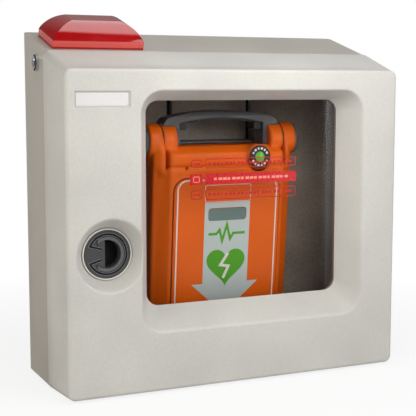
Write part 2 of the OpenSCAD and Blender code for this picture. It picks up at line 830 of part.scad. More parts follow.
module bevel_loft(m, y_front, y_end) hull() {
    slab(window[0] - bevel_side - m, window[1] + bevel_side + m, window[2] - bevel_bottom - m,
        window[3] + bevel_top + m, window_r + bevel_top + m, y_front);
    slab(window[0] - m, window[1] + m, window[2] - m, window[3] + m, window_r + m, y_end - loft_t);
}

module door_shell() color([0.81, 0.80, 0.77]) difference() {
    union() {
        difference() {
            door_loft(0, rim_y - loft_t, front_y, front_edge_r);
            door_loft(wall, rim_y, front_y + wall, front_edge_r);
        }
        bevel_loft(wall, front_y + wall / 2, bevel_end_y);
        along_y(bevel_end_y - wall, bevel_end_y) window_outline(pane_margin + frame_lip);
        translate([latch_x, front_y + wall / 2, latch_z]) rotate([-90, 0, 0])
            cylinder(r1 = recess_r + wall, r2 = recess_floor_r + wall, h = recess_depth + wall / 2);
        block([pocket_x - pocket_w / 2 - wall, front_y + wall / 2, pocket_z - pocket_h / 2 - wall],
            [pocket_x + pocket_w / 2 + wall, front_y + pocket_d + wall, pocket_z + pocket_h / 2 + wall]);
    }
    bevel_loft(0, front_y - 2 * loft_t, bevel_end_y + loft_t);
    along_y(bevel_end_y - loft_t, bevel_end_y + cut) window_outline(0);
    translate([latch_x, front_y, latch_z]) rotate([-90, 0, 0]) {
        translate([0, 0, -cut]) cylinder(r = recess_r, h = cut);
        cylinder(r1 = recess_r, r2 = recess_floor_r, h = recess_depth);
        cylinder(r = latch_barrel_r + seat_gap, h = recess_depth + 2 * wall);
    }
    hull() for (k = [0, 1]) {
        m = k * pocket_d / 2;
        slab(pocket_x - pocket_w / 2 + m, pocket_x + pocket_w / 2 - m, pocket_z - pocket_h / 2 + m,
            pocket_z + pocket_h / 2 - m, pocket_r, front_y + k * pocket_d - loft_t);
    }
}

module pane_gasket() color([0.08, 0.08, 0.08]) along_y(bevel_end_y, gasket_y) difference() {
    window_outline(pane_margin);
    window_outline(gasket_step);
}

module window_pane() color([0.75, 0.80, 0.80, 0.3]) along_y(gasket_y, pane_y) window_outline(pane_margin);

module pane_retainer() color([0.76, 0.75, 0.72]) along_y(pane_y, retainer_y) difference() {
    window_outline(pane_margin + frame_lip);
    window_outline(retainer_step);
}

// Magnet on the inside of the door's left wall, opposite the reed switch
module door_magnet() color([0.3, 0.3, 0.32])
    translate([-rim_x + wall + seat_gap, rim_y, sensor_z]) rotate([0, 0, inner_draft])
        translate([0, -magnet_back - magnet_d, -sensor_l / 2]) cube([magnet_w, magnet_d, sensor_l]);

// Latch. The half space to the right of x, round the latch's face
module right_of(x) translate([x, front_y, latch_z - 2 * latch_r]) cube([4 * latch_r, door_d, 4 * latch_r]);

module latch_housing() color([0.10, 0.10, 0.11]) difference() {
    union() {
        rod_y(face_y + face_chamfer, recess_floor_y, latch_x, latch_z, latch_r);
        translate([latch_x, face_y + face_chamfer, latch_z]) rotate([90, 0, 0])
            cylinder(r1 = latch_r, r2 = latch_r - face_chamfer, h = face_chamfer);
        rod_y(recess_floor_y - cut, recess_floor_y + latch_barrel_l, latch_x, latch_z, latch_barrel_r);
    }
    intersection() {
        rod_y(face_y - cut, face_y + cup_depth, latch_x, latch_z, cup_r);
        right_of(latch_x - cup_left);
    }
    difference() {
        intersection() {
            rod_y(face_y - cut, ring_front_y + ring_t + move_gap, latch_x, latch_z, ring_r + 2 * move_gap);
            right_of(ring_pivot_x - lug_r - move_gap);
        }
        rod_y(face_y - 2 * cut, recess_floor_y, latch_x, latch_z, cup_r);
    }
    for (s = [-1, 1]) {
        z = latch_z + s * lug_z;
        z0 = z - lug_l / 2 - move_gap;
        z1 = z + lug_l / 2 + move_gap;
        rod_z(z0, z1, ring_pivot_x, ring_pivot_y, lug_r + move_gap);
        block([ring_pivot_x - lug_r - move_gap, face_y - cut, z0],
            [ring_pivot_x + lug_r + 2 * move_gap, ring_pivot_y, z1]);
    }
    pin_hole_z = pin_end_z + seat_gap;
    rod_z(latch_z - pin_hole_z, latch_z + pin_hole_z, ring_pivot_x, ring_pivot_y, ring_pin_r + run_gap / 2);
    block([latch_x - 2 * latch_barrel_r, bolt_y - bolt_slack, latch_z - bolt_h / 2 - bolt_slack],
        [bolt_tail_x + spring_l, bolt_y + bolt_t + bolt_slack, latch_z + bolt_h / 2 + bolt_slack]);
}

module latch_nut() color([0.16, 0.16, 0.17]) difference() {
    translate([latch_x, recess_floor_y + wall, latch_z]) rotate([-90, 0, 0])
        cylinder(r = latch_barrel_r + latch_nut_w, h = latch_nut_t, $fn = 6);
    rod_y(recess_floor_y, recess_floor_y + latch_barrel_l, latch_x, latch_z, latch_barrel_r + seat_gap);
}

module pull_ring() color([0.13, 0.13, 0.14]) difference() {
    union() {
        intersection() {
            difference() {
                rod_y(ring_front_y, ring_front_y + ring_t, latch_x, latch_z, ring_r);
                rod_y(ring_front_y - cut, ring_front_y + ring_t + cut, latch_x, latch_z, ring_r - ring_w);
            }
            right_of(ring_pivot_x);
        }
        for (s = [-1, 1]) {
            z = latch_z + s * lug_z;
            rod_z(z - lug_l / 2, z + lug_l / 2, ring_pivot_x, ring_pivot_y, lug_r);
        }
    }
    rod_z(latch_z - 2 * lug_z, latch_z + 2 * lug_z, ring_pivot_x, ring_pivot_y, ring_pin_r + run_gap);
}

module ring_pin() color([0.7, 0.7, 0.72])
    rod_z(latch_z - pin_end_z, latch_z + pin_end_z, ring_pivot_x, ring_pivot_y, ring_pin_r);

module latch_bolt() color([0.72, 0.70, 0.62]) translate([0, 0, latch_z - bolt_h / 2]) linear_extrude(bolt_h)
    polygon([[bolt_tip_x, bolt_y], [bolt_tail_x, bolt_y], [bolt_tail_x, bolt_y + bolt_t],
        [bolt_tip_x + bolt_t - bolt_nose, bolt_y + bolt_t], [bolt_tip_x, bolt_y + bolt_nose]]);

// A compression spring as a swept polyhedron
function wire_point(i, j) =
    let (a = 360 * i / spring_steps, b = 360 * j / spring_sides, r = spring_coil_r + spring_wire_r * cos(b))
    [bolt_tail_x + seat_gap + spring_wire_r + spring_lead * i / spring_rings + spring_wire_r * sin(b),
     bolt_y + bolt_t / 2 + r * cos(a), latch_z + r * sin(a)];
module bolt_spring() color([0.75, 0.75, 0.76]) {
    n = spring_sides;
    points = [for (i = [0:spring_rings], j = [0:n - 1]) wire_point(i, j)];
    skin = [for (i = [0:spring_rings - 1], j = [0:n - 1]) let (k = (j + 1) % n)
        [i * n + j, i * n + k, (i + 1) * n + k, (i + 1) * n + j]];
    ends = [[for (j = [n - 1:-1:0]) j], [for (j = [0:n - 1]) spring_rings * n + j]];
    polyhedron(points, concat(skin, ends));
}

// Defibrillator
module case_outline(half, h0, h1, r) rounded(-half, half, h0, h1, r);
// Cylinder round the lid's hinge axis, from u0 to u1 across
module ear(u0, u1, r) rod_x(u0, u1, -ear_d, ear_h, r);
// Cylinder along the indicator's or the shock button's axis, between two depths
module indicator_rod(d0, d1, r) rod_y(-d1, -d0, indicator_x, indicator_h, r);
module button_rod(d0, d1, r) rod_y(-d1, -d0, button_x, button_h, r);

module aed_rear_case() color([0.36, 0.36, 0.37]) at_aed() difference() {
    union() {
        difference() {
            along_y(-rear_d, 0) case_outline(rear_half_w, 0, rear_h, case_r);
            along_y(-rear_d - cut, -case_t)
                case_outline(rear_half_w - case_t, case_t, rear_h - case_t, case_r - case_t);
        }
        for (u = [board_x + post_inset, board_x + board_w - post_inset],
            h = [board_h + post_inset, board_h + board_l - post_inset])
                rod_y(-board_d, -case_t / 2, u, h, post_r);
    }
    along_y(-case_t - cut, cut) rounded(-battery_half_w - seat_gap, battery_half_w + seat_gap,
        battery_h0 - seat_gap, battery_h1 + seat_gap, battery_r);
}

module battery_pack() color([0.20, 0.20, 0.21]) at_aed() {
    m = battery_lip;
    along_y(-case_t, -battery_set) rounded(-battery_half_w, battery_half_w, battery_h0, battery_h1, battery_r);
    along_y(-battery_d, -case_t)
        rounded(-battery_half_w - m, battery_half_w + m, battery_h0 - m, battery_h1 + m, battery_r);
}

module main_board() color([0.08, 0.32, 0.18]) at_aed()
    along_y(-board_d - board_t, -board_d) translate([board_x, board_h]) square([board_w, board_l]);

module shock_capacitor() color([0.18, 0.20, 0.32]) at_aed()
    rod_x(capacitor_x, capacitor_x + capacitor_l, -case_t - capacitor_r - seat_gap, capacitor_h, capacitor_r);

module speaker() color([0.15, 0.15, 0.16]) at_aed() difference() {
    rod_y(-rear_d, -rear_d + speaker_t, speaker_x, speaker_h, speaker_r);
    rod_y(-rear_d - cut, -rear_d + cone_d, speaker_x, speaker_h, cone_r);
}

module side_bumpers() color([0.28, 0.28, 0.29]) at_aed() both_sides() for (k = [0, 1]) {
    h = bumper_h0 + k * bumper_pitch;
    along_y(-rear_d + bumper_inset, -bumper_inset)
        rounded(rear_half_w, rear_half_w + bumper_t, h, h + bumper_l, bumper_r);
}

// Front case: back plate, chin under the lid, fixed ears and the brow between them
module ear_section(grow) hull() {
    translate([-ear_d, ear_h]) circle(ear_r + grow, $fn = 4 * hull_fn);
    translate([-split_d - grow, brow_top_h - ear_root_h]) square([front_d + 2 * grow, ear_root_h]);
}
// The brow's section: round underneath, and above its ridge a flat that leans back to the top
module brow_section() intersection() {
    foot_h = ear_h - brow_reach;
    top_d = ridge_d - (brow_top_h - ridge_h) / tan(brow_slope);
    translate([-ear_d, ear_h]) circle(brow_reach);
    polygon([[-ridge_d, foot_h], [-ridge_d, ridge_h], [-top_d, brow_top_h], [-rear_d, brow_top_h],
        [-rear_d, foot_h]]);
}

module aed_front_case() color([0.85, 0.38, 0.10]) at_aed() difference() {
    union() {
        along_y(-split_d, -rear_d) case_outline(case_half_w, 0, front_case_h, case_r);
        intersection() {
            along_y(-chin_d, -rear_d) case_outline(case_half_w, 0, front_case_h, case_r);
            block([-case_half_w, -chin_d, 0], [case_half_w, -rear_d, lid_foot_h - chin_gap]);
        }
        both_sides() along_x(ear_in, ear_seam - move_gap / 2) ear_section(0);
        along_x(-brow_half_w, brow_half_w) brow_section();
        indicator_rod(ear_d, boss_front_d, indicator_r + boss_margin);
    }
    both_sides() {
        ear(ear_seam - move_gap / 2, ear_out + cut, ear_r + move_gap);
        ear(ear_in + pin_set, ear_out, lid_pin_r + run_gap / 2);
    }
    button_rod(rear_d + 2, split_d + cut, stem_r + stem_hole_set);
    indicator_rod(boss_front_d - bezel_t, boss_front_d + cut, indicator_r + seat_gap);
}

// Handle: an arch over the fixed ears, with a foot on the brow beside each ear
module aed_handle() color([0.37, 0.37, 0.39]) at_aed() difference() {
    foot_h = brow_top_h - 2 * handle_corner_r;
    intersection() {
        along_y(-handle_back - handle_d, -handle_back) difference() {
            intersection() {
                rounded(-handle_half_w, handle_half_w, foot_h, handle_top_h, handle_corner_r);
                translate([0, handle_top_h - handle_arch_r]) circle(handle_arch_r, $fn = 128);
            }
            intersection() {
                rounded(-handle_half_w + handle_post_w, handle_half_w - handle_post_w, foot_h,
                    handle_top_h - handle_t, handle_inner_r);
                under_arch(0);
            }
        }
        along_x(-ear_out, ear_out)
            rounded(-handle_back - handle_d, -handle_back, foot_h, handle_top_h, handle_edge_r);
    }
    block([-ear_out, -handle_back - 2 * handle_d, 0], [ear_out, 0, brow_top_h + seat_gap]);
    both_sides() along_x(ear_in - seat_gap, ear_seam) ear_section(seat_gap);
}
// The space under the handle's arch, t lower
module under_arch(t) translate([0, handle_top_h - handle_t - handle_under_r])
    circle(handle_under_r - t, $fn = 128);

module handle_grip() color([0.16, 0.16, 0.17]) at_aed() {
    top = handle_top_h - handle_t - seat_gap;
    hook_u = grip_half_w - hook_r;
    hook_top = top - grip_half_w * grip_half_w / (2 * handle_under_r);
    along_y(-handle_back - handle_d + grip_inset, -handle_back - grip_inset) {
        intersection() {
            difference() {
                under_arch(seat_gap);
                under_arch(seat_gap + grip_t);
            }
            translate([-grip_half_w, top - 2 * handle_t]) square([2 * grip_half_w, 3 * handle_t]);
        }
        for (s = [-1, 1])
            rounded(s * hook_u - hook_w / 2, s * hook_u + hook_w / 2, hook_top - hook_drop, hook_top - cut, hook_r);
    }
}

module indicator_bezel() color([0.16, 0.15, 0.17]) at_aed() difference() {
    indicator_rod(boss_front_d - bezel_t, boss_front_d + bezel_proud, indicator_r);
    indicator_rod(boss_front_d - bezel_t / 2, boss_front_d + bezel_proud + cut, indicator_lens_r + seat_gap);
}

module indicator_lens() color([0.30, 0.75, 0.25]) at_aed() intersection() {
    indicator_rod(boss_front_d - bezel_t / 2, boss_front_d + indicator_dome_r, indicator_lens_r);
    translate([indicator_x, -boss_front_d + indicator_dome_r - indicator_crown, indicator_h])
        sphere(indicator_dome_r);
}

module lid_hinge_pins() color([0.7, 0.7, 0.72]) at_aed() both_sides()
    ear(ear_in + pin_set, ear_out - pin_end_set, lid_pin_r);

// Under the lid
module control_deck() color([0.30, 0.30, 0.31]) at_aed() difference() {
    along_y(-deck_d, -split_d) case_outline(deck_half_w, deck_h0, deck_h1, deck_r);
    button_rod(split_d - cut, deck_d + cut, stem_r + run_gap);
}

module display_module() color([0.12, 0.14, 0.13]) at_aed()
    along_y(-deck_d - screen_t, -deck_d) case_outline(screen_half_w, screen_h0, screen_h1, screen_r);

module electrode_pouch() color([0.86, 0.86, 0.84]) at_aed()
    along_y(-deck_d - pouch_t, -deck_d) case_outline(pouch_half_w, pouch_h0, pouch_h1, pouch_r);

module shock_button() color([0.80, 0.15, 0.10]) at_aed() {
    head_d = deck_d + button_travel + move_gap;
    button_rod(head_d, head_d + button_head_t - 2 * move_gap, button_r);
    button_rod(rear_d + 2 * button_travel + 2, head_d + cut, stem_r);
}

// Lid
module lid_body(t) intersection() {
    h0 = lid_foot_h + t;
    h1 = lid_top_h - t;
    back = -lid_back_d + (t > 0 ? cut : 0);
    along_x(-case_half_w + t, case_half_w - t) polygon([[back, h0], [-lid_d(h0) + foot_chamfer + t, h0],
        [-lid_d(h0 + foot_chamfer_h) + t, h0 + foot_chamfer_h], [-lid_d(h1) + t, h1], [back, h1]]);
    along_y(-2 * lid_mid_d, 0) case_outline(case_half_w - t, h0, h1 + 2 * ear_r, case_r - t);
    lid_facets(t);
}
// Everything behind the lid's sloping front and its two side facets
module lid_facets(t) translate([0, -lid_d(0), 0]) rotate([lid_slope, 0, 0])
    linear_extrude(3 * rear_h, center = true) polygon([
        [-case_half_w + t, 2 * lid_mid_d], [-case_half_w + t, facet_d], [-case_half_w + facet_w, t],
        [case_half_w - facet_w, t], [case_half_w - t, facet_d], [case_half_w - t, 2 * lid_mid_d]]);
// What the brow and the indicator keep of the space about the ears' axis while the lid swings, grown by t
module brow_sweep(t) {
    ear(-ear_seam - move_gap / 2 - t, ear_seam + move_gap / 2 + t, brow_reach + move_gap + t);
    translate([indicator_x, -ear_d, ear_h]) rotate([0, 90, 0])
        rotate_extrude() translate([dip_reach - dip_r, 0]) circle(dip_r + t);
}
// Places a flat outline (u along X, v up the slope from the foot) on the lid's front
module on_lid(lo, hi) translate([0, -lid_d(0), 0]) rotate([lid_slope, 0, 0]) along_y(-hi, -lo) children();
// The lid's window, less a clearance
module lid_window_outline(gap) case_outline(lid_window_half_w - gap, lid_window_v + gap,
    lid_window_v + lid_window_l - gap, lid_window_r - gap);

module aed_lid() color([0.85, 0.38, 0.10]) at_aed() difference() {
    union() {
        difference() {
            lid_body(0);
            difference() {
                lid_body(case_t);
                brow_sweep(case_t);
            }
        }
        on_lid(-case_t / 2, panel_rise)
            case_outline(panel_half_w, lid_foot_h + panel_foot, panel_top_h, panel_r);
        both_sides() {
            ear(ear_seam + move_gap / 2, ear_out, ear_r);
            intersection() {
                along_x(ear_seam + move_gap / 2, case_half_w) intersection() {
                    hull() {
                        translate([-ear_d, ear_h]) circle(ear_r, $fn = 4 * hull_fn);
                        translate([-lid_d(lid_top_h - arm_drop) + arm_in, lid_top_h - arm_drop])
                            circle(arm_r, $fn = hull_fn);
                        translate([-lid_back_d - 1.3 * arm_r, lid_top_h - 2 * arm_drop / 3])
                            circle(arm_r, $fn = hull_fn);
                    }
                    translate([-lid_back_d - 2 * lid_mid_d, 0]) square([2 * lid_mid_d, handle_top_h]);
                }
                lid_facets(0);
            }
        }
    }
    brow_sweep(0);
    both_sides() ear(ear_seam - bore_lead, ear_out - pin_end_set + 1, lid_pin_r + run_gap);
    on_lid(-lid_mid_d / 4, case_t * 3) lid_window_outline(0);
    rod_y(-lid_mid_d - 2 * ear_r, -lid_d(lid_edge_h) + 2 * case_t, hole_x, lid_edge_h - hole_drop, hole_r);
}

module lid_window() color([0.45, 0.55, 0.53, 0.6]) at_aed()
    on_lid(-case_t, panel_rise - lid_window_set) lid_window_outline(seat_gap);

module ear_caps() color([0.42, 0.42, 0.44]) at_aed() both_sides() {
    ear(ear_out, ear_out + ear_cap_t - cap_chamfer, ear_r - cap_chamfer);
    translate([ear_out + ear_cap_t - cap_chamfer, -ear_d, ear_h]) rotate([0, 90, 0])
        cylinder(r1 = ear_r - cap_chamfer, r2 = ear_r - cap_chamfer - cap_taper, h = cap_chamfer);
}

in_frame() cabinet_shell();
in_frame() front_frame();
in_frame() back_panel();
in_frame() aed_cradle();
in_frame() hinge_body_leaves();
in_frame() hinge_pins();
in_frame() strike_bracket();
in_frame() key_switch_barrel();
in_frame() key_switch_nut();
in_frame() key_switch_contacts();
in_frame() key_plug();
in_frame() beacon_base();
in_frame() beacon_lens();
in_frame() beacon_reflector();
in_frame() strobe_tube();
in_frame() alarm_case();
in_frame() alarm_board();
in_frame() alarm_battery();
in_frame() alarm_siren();
in_frame() reed_switch();
in_frame() door_shell();
in_frame() pane_gasket();
in_frame() window_pane();
in_frame() pane_retainer();
in_frame() hinge_door_leaves();
in_frame() door_magnet();
in_frame() latch_housing();
in_frame() latch_nut();
in_frame() ring_pin();
in_frame() bolt_spring();
in_frame() pull_ring();
in_frame() latch_bolt();
in_frame() aed_rear_case();
in_frame() aed_front_case();
in_frame() aed_handle();
in_frame() handle_grip();
in_frame() indicator_bezel();
in_frame() indicator_lens();
in_frame() side_bumpers();
in_frame() lid_hinge_pins();
in_frame() control_deck();
in_frame() display_module();
in_frame() electrode_pouch();
in_frame() main_board();
in_frame() shock_capacitor();
in_frame() battery_pack();
in_frame() speaker();
in_frame() aed_lid();
in_frame() lid_window();
in_frame() ear_caps();
in_frame() shock_button();
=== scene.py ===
"""Looks of a wall cabinet with an alarm beacon, a glazed door and a portable defibrillator.

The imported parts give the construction. This script dresses them, replaces the moulded pieces
whose edges need to be soft, and adds print, plates and small fasteners. Lengths in the classes
are millimetres in the part's frame: +Z up, the front towards -Y, the wall at Y = 0.
"""

import json
import logging
import math
from collections.abc import Callable
from dataclasses import dataclass
from enum import Enum

import bmesh
import bpy
import numpy as np
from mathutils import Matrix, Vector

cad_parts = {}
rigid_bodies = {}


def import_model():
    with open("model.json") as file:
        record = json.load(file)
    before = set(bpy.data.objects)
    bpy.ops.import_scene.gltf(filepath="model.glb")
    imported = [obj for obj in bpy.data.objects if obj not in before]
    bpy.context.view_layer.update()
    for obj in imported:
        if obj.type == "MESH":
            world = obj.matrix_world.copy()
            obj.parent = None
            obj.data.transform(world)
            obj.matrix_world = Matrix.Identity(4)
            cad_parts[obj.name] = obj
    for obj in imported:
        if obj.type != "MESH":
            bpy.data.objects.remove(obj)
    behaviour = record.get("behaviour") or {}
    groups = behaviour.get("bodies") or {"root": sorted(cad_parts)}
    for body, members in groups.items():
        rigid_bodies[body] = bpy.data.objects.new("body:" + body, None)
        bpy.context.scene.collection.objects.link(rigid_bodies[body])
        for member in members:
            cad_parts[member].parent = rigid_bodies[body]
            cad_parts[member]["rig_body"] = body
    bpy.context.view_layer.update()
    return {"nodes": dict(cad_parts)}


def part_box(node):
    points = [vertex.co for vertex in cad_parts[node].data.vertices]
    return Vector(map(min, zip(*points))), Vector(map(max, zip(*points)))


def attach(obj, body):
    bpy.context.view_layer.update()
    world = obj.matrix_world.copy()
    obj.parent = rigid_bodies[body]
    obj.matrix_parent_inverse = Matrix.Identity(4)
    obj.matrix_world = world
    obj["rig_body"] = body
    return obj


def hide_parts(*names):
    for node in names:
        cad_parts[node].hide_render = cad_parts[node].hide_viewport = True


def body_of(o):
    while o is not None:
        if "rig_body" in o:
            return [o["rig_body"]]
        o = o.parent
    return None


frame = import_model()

MM = 0.001
LOOK = "_look"
log = logging.getLogger("cabinet")

Array = np.ndarray
Socket = bpy.types.NodeSocket
Material = bpy.types.Material
Colour = tuple[float, float, float]
Point = tuple[float, float, float]
Pair = tuple[float, float]
Lay = Callable[[Array, float], Array]

WHITE = (1.0, 1.0, 1.0, 1.0)
NOISE_SPAN = (0.3, 0.7)


def srgb(red: int, green: int, blue: int) -> Colour:
    """Turns a colour as seen on a screen into linear light.

    Args:
        red, green, blue: Levels from 0 to 255.

    Returns:
        The three linear levels, from 0 to 1.
    """
    level = np.array([red, green, blue]) / 255
    linear = np.where(level <= 0.04045, level / 12.92, ((level + 0.055) / 1.055) ** 2.4)
    return tuple(float(x) for x in linear)


def scaled(colour: Colour, share: float) -> Colour:
    """A colour made darker or lighter by a share, at most to full light."""
    return tuple(min(1.0, level * share) for level in colour)


def node_box(node: str) -> tuple[Array, Array]:
    """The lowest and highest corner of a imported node, in millimetres."""
    low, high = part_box(node)
    return np.array(low) / MM, np.array(high) / MM


class Graph:
    """A material's node tree, with short calls that add and join nodes."""

    bevel_samples: int = 6

    def __init__(self, name: str) -> None:
        """Starts an empty tree.

        Args:
            name: Name of the material.
        """
        self.material = bpy.data.materials.new(name + LOOK)
        self.material.use_nodes = True
        self.tree = self.material.node_tree
        self.tree.nodes.clear()
        self.out = self.add("ShaderNodeOutputMaterial")
        self.place = self.add("ShaderNodeTexCoord").outputs["Object"]

    @classmethod
    def of(cls, tree: bpy.types.NodeTree) -> "Graph":
        """Wraps and empties a tree that isn't a material's.

        Args:
            tree: The tree.

        Returns:
            The wrapped tree, without an output.
        """
        graph = cls.__new__(cls)
        graph.tree = tree
        tree.nodes.clear()
        return graph

    def add(self, kind: str, inputs: dict | None = None, **settings: object) -> bpy.types.Node:
        """Adds a node.

        Args:
            kind: Blender's name for the node's type.
            inputs: Values or sockets for the node's inputs, by name or number.
            settings: Properties of the node itself.

        Returns:
            The new node.
        """
        node = self.tree.nodes.new(kind)
        for key, value in settings.items():
            setattr(node, key, value)
        for key, value in (inputs or {}).items():
            if isinstance(value, Socket):
                self.tree.links.new(value, node.inputs[key])
            else:
                node.inputs[key].default_value = value
        return node

    def noise(self, size: float, detail: float = 2.0, stretch: Point = (1, 1, 1)) -> Socket:
        """A noise pattern on Object coordinates.

        Args:
            size: Size of one grain, in millimetres.
            detail: Number of finer layers.
            stretch: Scale of the pattern along X, Y and Z.

        Returns:
            The noise's value, around 0.5.
        """
        place = self.add("ShaderNodeMapping", {"Vector": self.place, "Scale": stretch}).outputs[0]
        settings = {"Vector": place, "Scale": 1 / (size * MM), "Detail": detail}
        return self.add("ShaderNodeTexNoise", settings).outputs["Fac"]

    def compute(self, operation: str, first: object, second: object) -> Socket:
        """The result of a Math node on two values or sockets."""
        return self.add("ShaderNodeMath", {0: first, 1: second}, operation=operation).outputs[0]

    def ramp(self, value: Socket, low: float, high: float, to_low: float, to_high: float) -> Socket:
        """Maps a value between two limits onto two others, clamped."""
        return self.add("ShaderNodeMapRange", {0: value, 1: low, 2: high, 3: to_low, 4: to_high}).outputs[0]

    def tint(self, value: Socket, dark: Colour, light: Colour) -> Socket:
        """Blends two colours by a value from 0 to 1."""
        settings = {"Factor": value, 6: (*dark, 1), 7: (*light, 1)}
        return self.add("ShaderNodeMix", settings, data_type="RGBA").outputs[2]

    def bump(self, height: Socket, strength: float, distance: float, rounding: float = 0.0) -> Socket:
        """A bumped normal from a height pattern.

        Args:
            height: The pattern.
            strength: Share of the full relief.
            distance: Height of the full relief, in millimetres.
            rounding: Radius in millimetres to which edges look rounded, or 0.

        Returns:
            The normal.
        """
        settings = {"Height": height, "Strength": strength, "Distance": distance * MM}
        if rounding:
            edges = self.add("ShaderNodeBevel", {"Radius": rounding * MM}, samples=self.bevel_samples)
            settings["Normal"] = edges.outputs[0]
        return self.add("ShaderNodeBump", settings).outputs[0]

    def end(self, shader: bpy.types.Node) -> Material:
        """Ends the tree with a shader."""
        self.tree.links.new(shader.outputs[0], self.out.inputs[0])
        return self.material

    def finish(self, inputs: dict) -> Material:
        """Ends the tree with a Principled shader of the given values or sockets."""
        return self.end(self.add("ShaderNodeBsdfPrincipled", inputs))

    def blend(self, share: Socket, first: Socket, second: Socket) -> Material:
        """Ends the tree with a share of the second shader over the first."""
        return self.end(self.add("ShaderNodeMixShader", {0: share, 1: first, 2: second}))


@dataclass(frozen=True)
class Moulded:
    """Moulded or painted surface with a fine grain, a speckle and a little unevenness of gloss."""

    colour: Colour
    rough: float = 0.45
    grain: float = 1.3
    relief: float = 0.12
    speckle: float = 0.05
    coat: float = 0.0
    metal: float = 0.0
    rounding: float = 0.0
    cloud_size: float = 70.0
    speckle_span: Pair = (0.7, 1.3)
    uneven: float = 0.05
    grain_height: float = 0.5

    def make(self, name: str) -> Material:
        """Builds the material: speckled colour, cloudy roughness and a grain as bump.

        Args:
            name: Name of the finish.

        Returns:
            The material.
        """
        graph = Graph(name)
        fine = graph.noise(self.grain)
        cloud = graph.noise(self.cloud_size, detail=1.0)
        share = graph.ramp(graph.compute("ADD", fine, cloud), *self.speckle_span, 0, 1)
        dark, light = scaled(self.colour, 1 - self.speckle), scaled(self.colour, 1 + self.speckle)
        return graph.finish({
            "Base Color": graph.tint(share, dark, light),
            "Roughness": graph.ramp(cloud, *NOISE_SPAN, self.rough - self.uneven, self.rough + self.uneven),
            "Normal": graph.bump(fine, self.relief, self.grain_height, self.rounding),
            "Metallic": self.metal,
            "Coat Weight": self.coat,
        })


@dataclass(frozen=True)
class Brushed:
    """Bare or plated metal with fine drawn lines."""

    colour: Colour
    rough: float = 0.3
    along: Point = (1.0, 1.0, 0.06)
    metal: float = 1.0
    line_size: float = 0.9
    line_span: Pair = (0.25, 0.75)
    shade: float = 0.86
    uneven: float = 0.3
    relief: float = 0.05
    line_height: float = 0.2

    def make(self, name: str) -> Material:
        """Builds the material: drawn lines in the roughness and the bump.

        Args:
            name: Name of the finish.

        Returns:
            The material.
        """
        graph = Graph(name)
        drawn = graph.noise(self.line_size, detail=3.0, stretch=self.along)
        smooth, coarse = self.rough * (1 - self.uneven), self.rough * (1 + self.uneven)
        return graph.finish({
            "Base Color": graph.tint(drawn, scaled(self.colour, self.shade), self.colour),
            "Roughness": graph.ramp(drawn, *self.line_span, smooth, coarse),
            "Normal": graph.bump(drawn, self.relief, self.line_height),
            "Metallic": self.metal,
        })


@dataclass(frozen=True)
class TintedLens:
    """Glossy translucent plastic, deep in the glass and bright on its polished skin."""

    colour: Colour
    clear: float = 0.75
    rough: float = 0.08
    gloss: float = 1.5
    flow_size: float = 18.0
    flow_along: Point = (1.0, 1.0, 0.4)
    shade: float = 0.8
    uneven: float = 0.4
    bending: float = 1.49
    coat: float = 0.8
    coat_rough: float = 0.04

    def make(self, name: str) -> Material:
        """Builds the material: tinted glass with faint flow marks and a polished coat.

        Args:
            name: Name of the finish.

        Returns:
            The material.
        """
        graph = Graph(name)
        flow = graph.noise(self.flow_size, stretch=self.flow_along)
        smooth, coarse = self.rough * (1 - self.uneven), self.rough * (1 + self.uneven)
        return graph.finish({
            "Base Color": graph.tint(flow, scaled(self.colour, self.shade), self.colour),
            "Roughness": graph.ramp(flow, *NOISE_SPAN, smooth, coarse),
            "Transmission Weight": self.clear,
            "IOR": self.bending,
            "Coat Weight": self.coat,
            "Coat IOR": self.gloss,
            "Coat Roughness": self.coat_rough,
        })


@dataclass(frozen=True)
class Glazing:
    """Clear thin pane that lets light through and mirrors at its own faces, with faint wiping marks."""

    tint: Colour = (0.985, 0.99, 0.99)
    mirror: float = 1.2
    mark_size: float = 9.0
    mark_along: Point = (0.25, 1.0, 1.6)
    mark_span: Pair = (0.5, 0.75)
    mark_rough: Pair = (0.015, 0.07)

    def make(self, name: str) -> Material:
        """Builds the material: a see-through film mixed by Fresnel with a mirror film.

        Args:
            name: Name of the finish.

        Returns:
            The material.
        """
        graph = Graph(name)
        marks = graph.noise(self.mark_size, detail=4.0, stretch=self.mark_along)
        rough = graph.ramp(marks, *self.mark_span, *self.mark_rough)
        clear = graph.add("ShaderNodeBsdfTransparent", {"Color": (*self.tint, 1)}).outputs[0]
        gloss = graph.add("ShaderNodeBsdfGlossy", {"Roughness": rough}).outputs[0]
        share = graph.add("ShaderNodeFresnel", {"IOR": self.mirror}).outputs[0]
        return graph.blend(share, clear, gloss)


@dataclass(frozen=True)
class Ink:
    """Printed film: even colour with a slightly patchy gloss."""

    colour: Colour
    rough: float = 0.4
    mottle_size: float = 2.2
    shade: float = 0.95
    uneven: float = 0.06

    def make(self, name: str) -> Material:
        """Builds the material: faint printing mottle in colour and gloss.

        Args:
            name: Name of the finish.

        Returns:
            The material.
        """
        graph = Graph(name)
        mottle = graph.noise(self.mottle_size, detail=3.0)
        return graph.finish({
            "Base Color": graph.tint(mottle, scaled(self.colour, self.shade), self.colour),
            "Roughness": graph.ramp(mottle, *NOISE_SPAN, self.rough - self.uneven, self.rough + self.uneven),
        })


# Finishes that belong to the slot of another finish.
SHARED_SLOTS: dict[str, str] = {
    "cabinet_paint": "cabinet_plastic", "beacon_rim": "beacon_red",
    "latch_grey": "black_plastic", "ring_grey": "black_plastic",
}


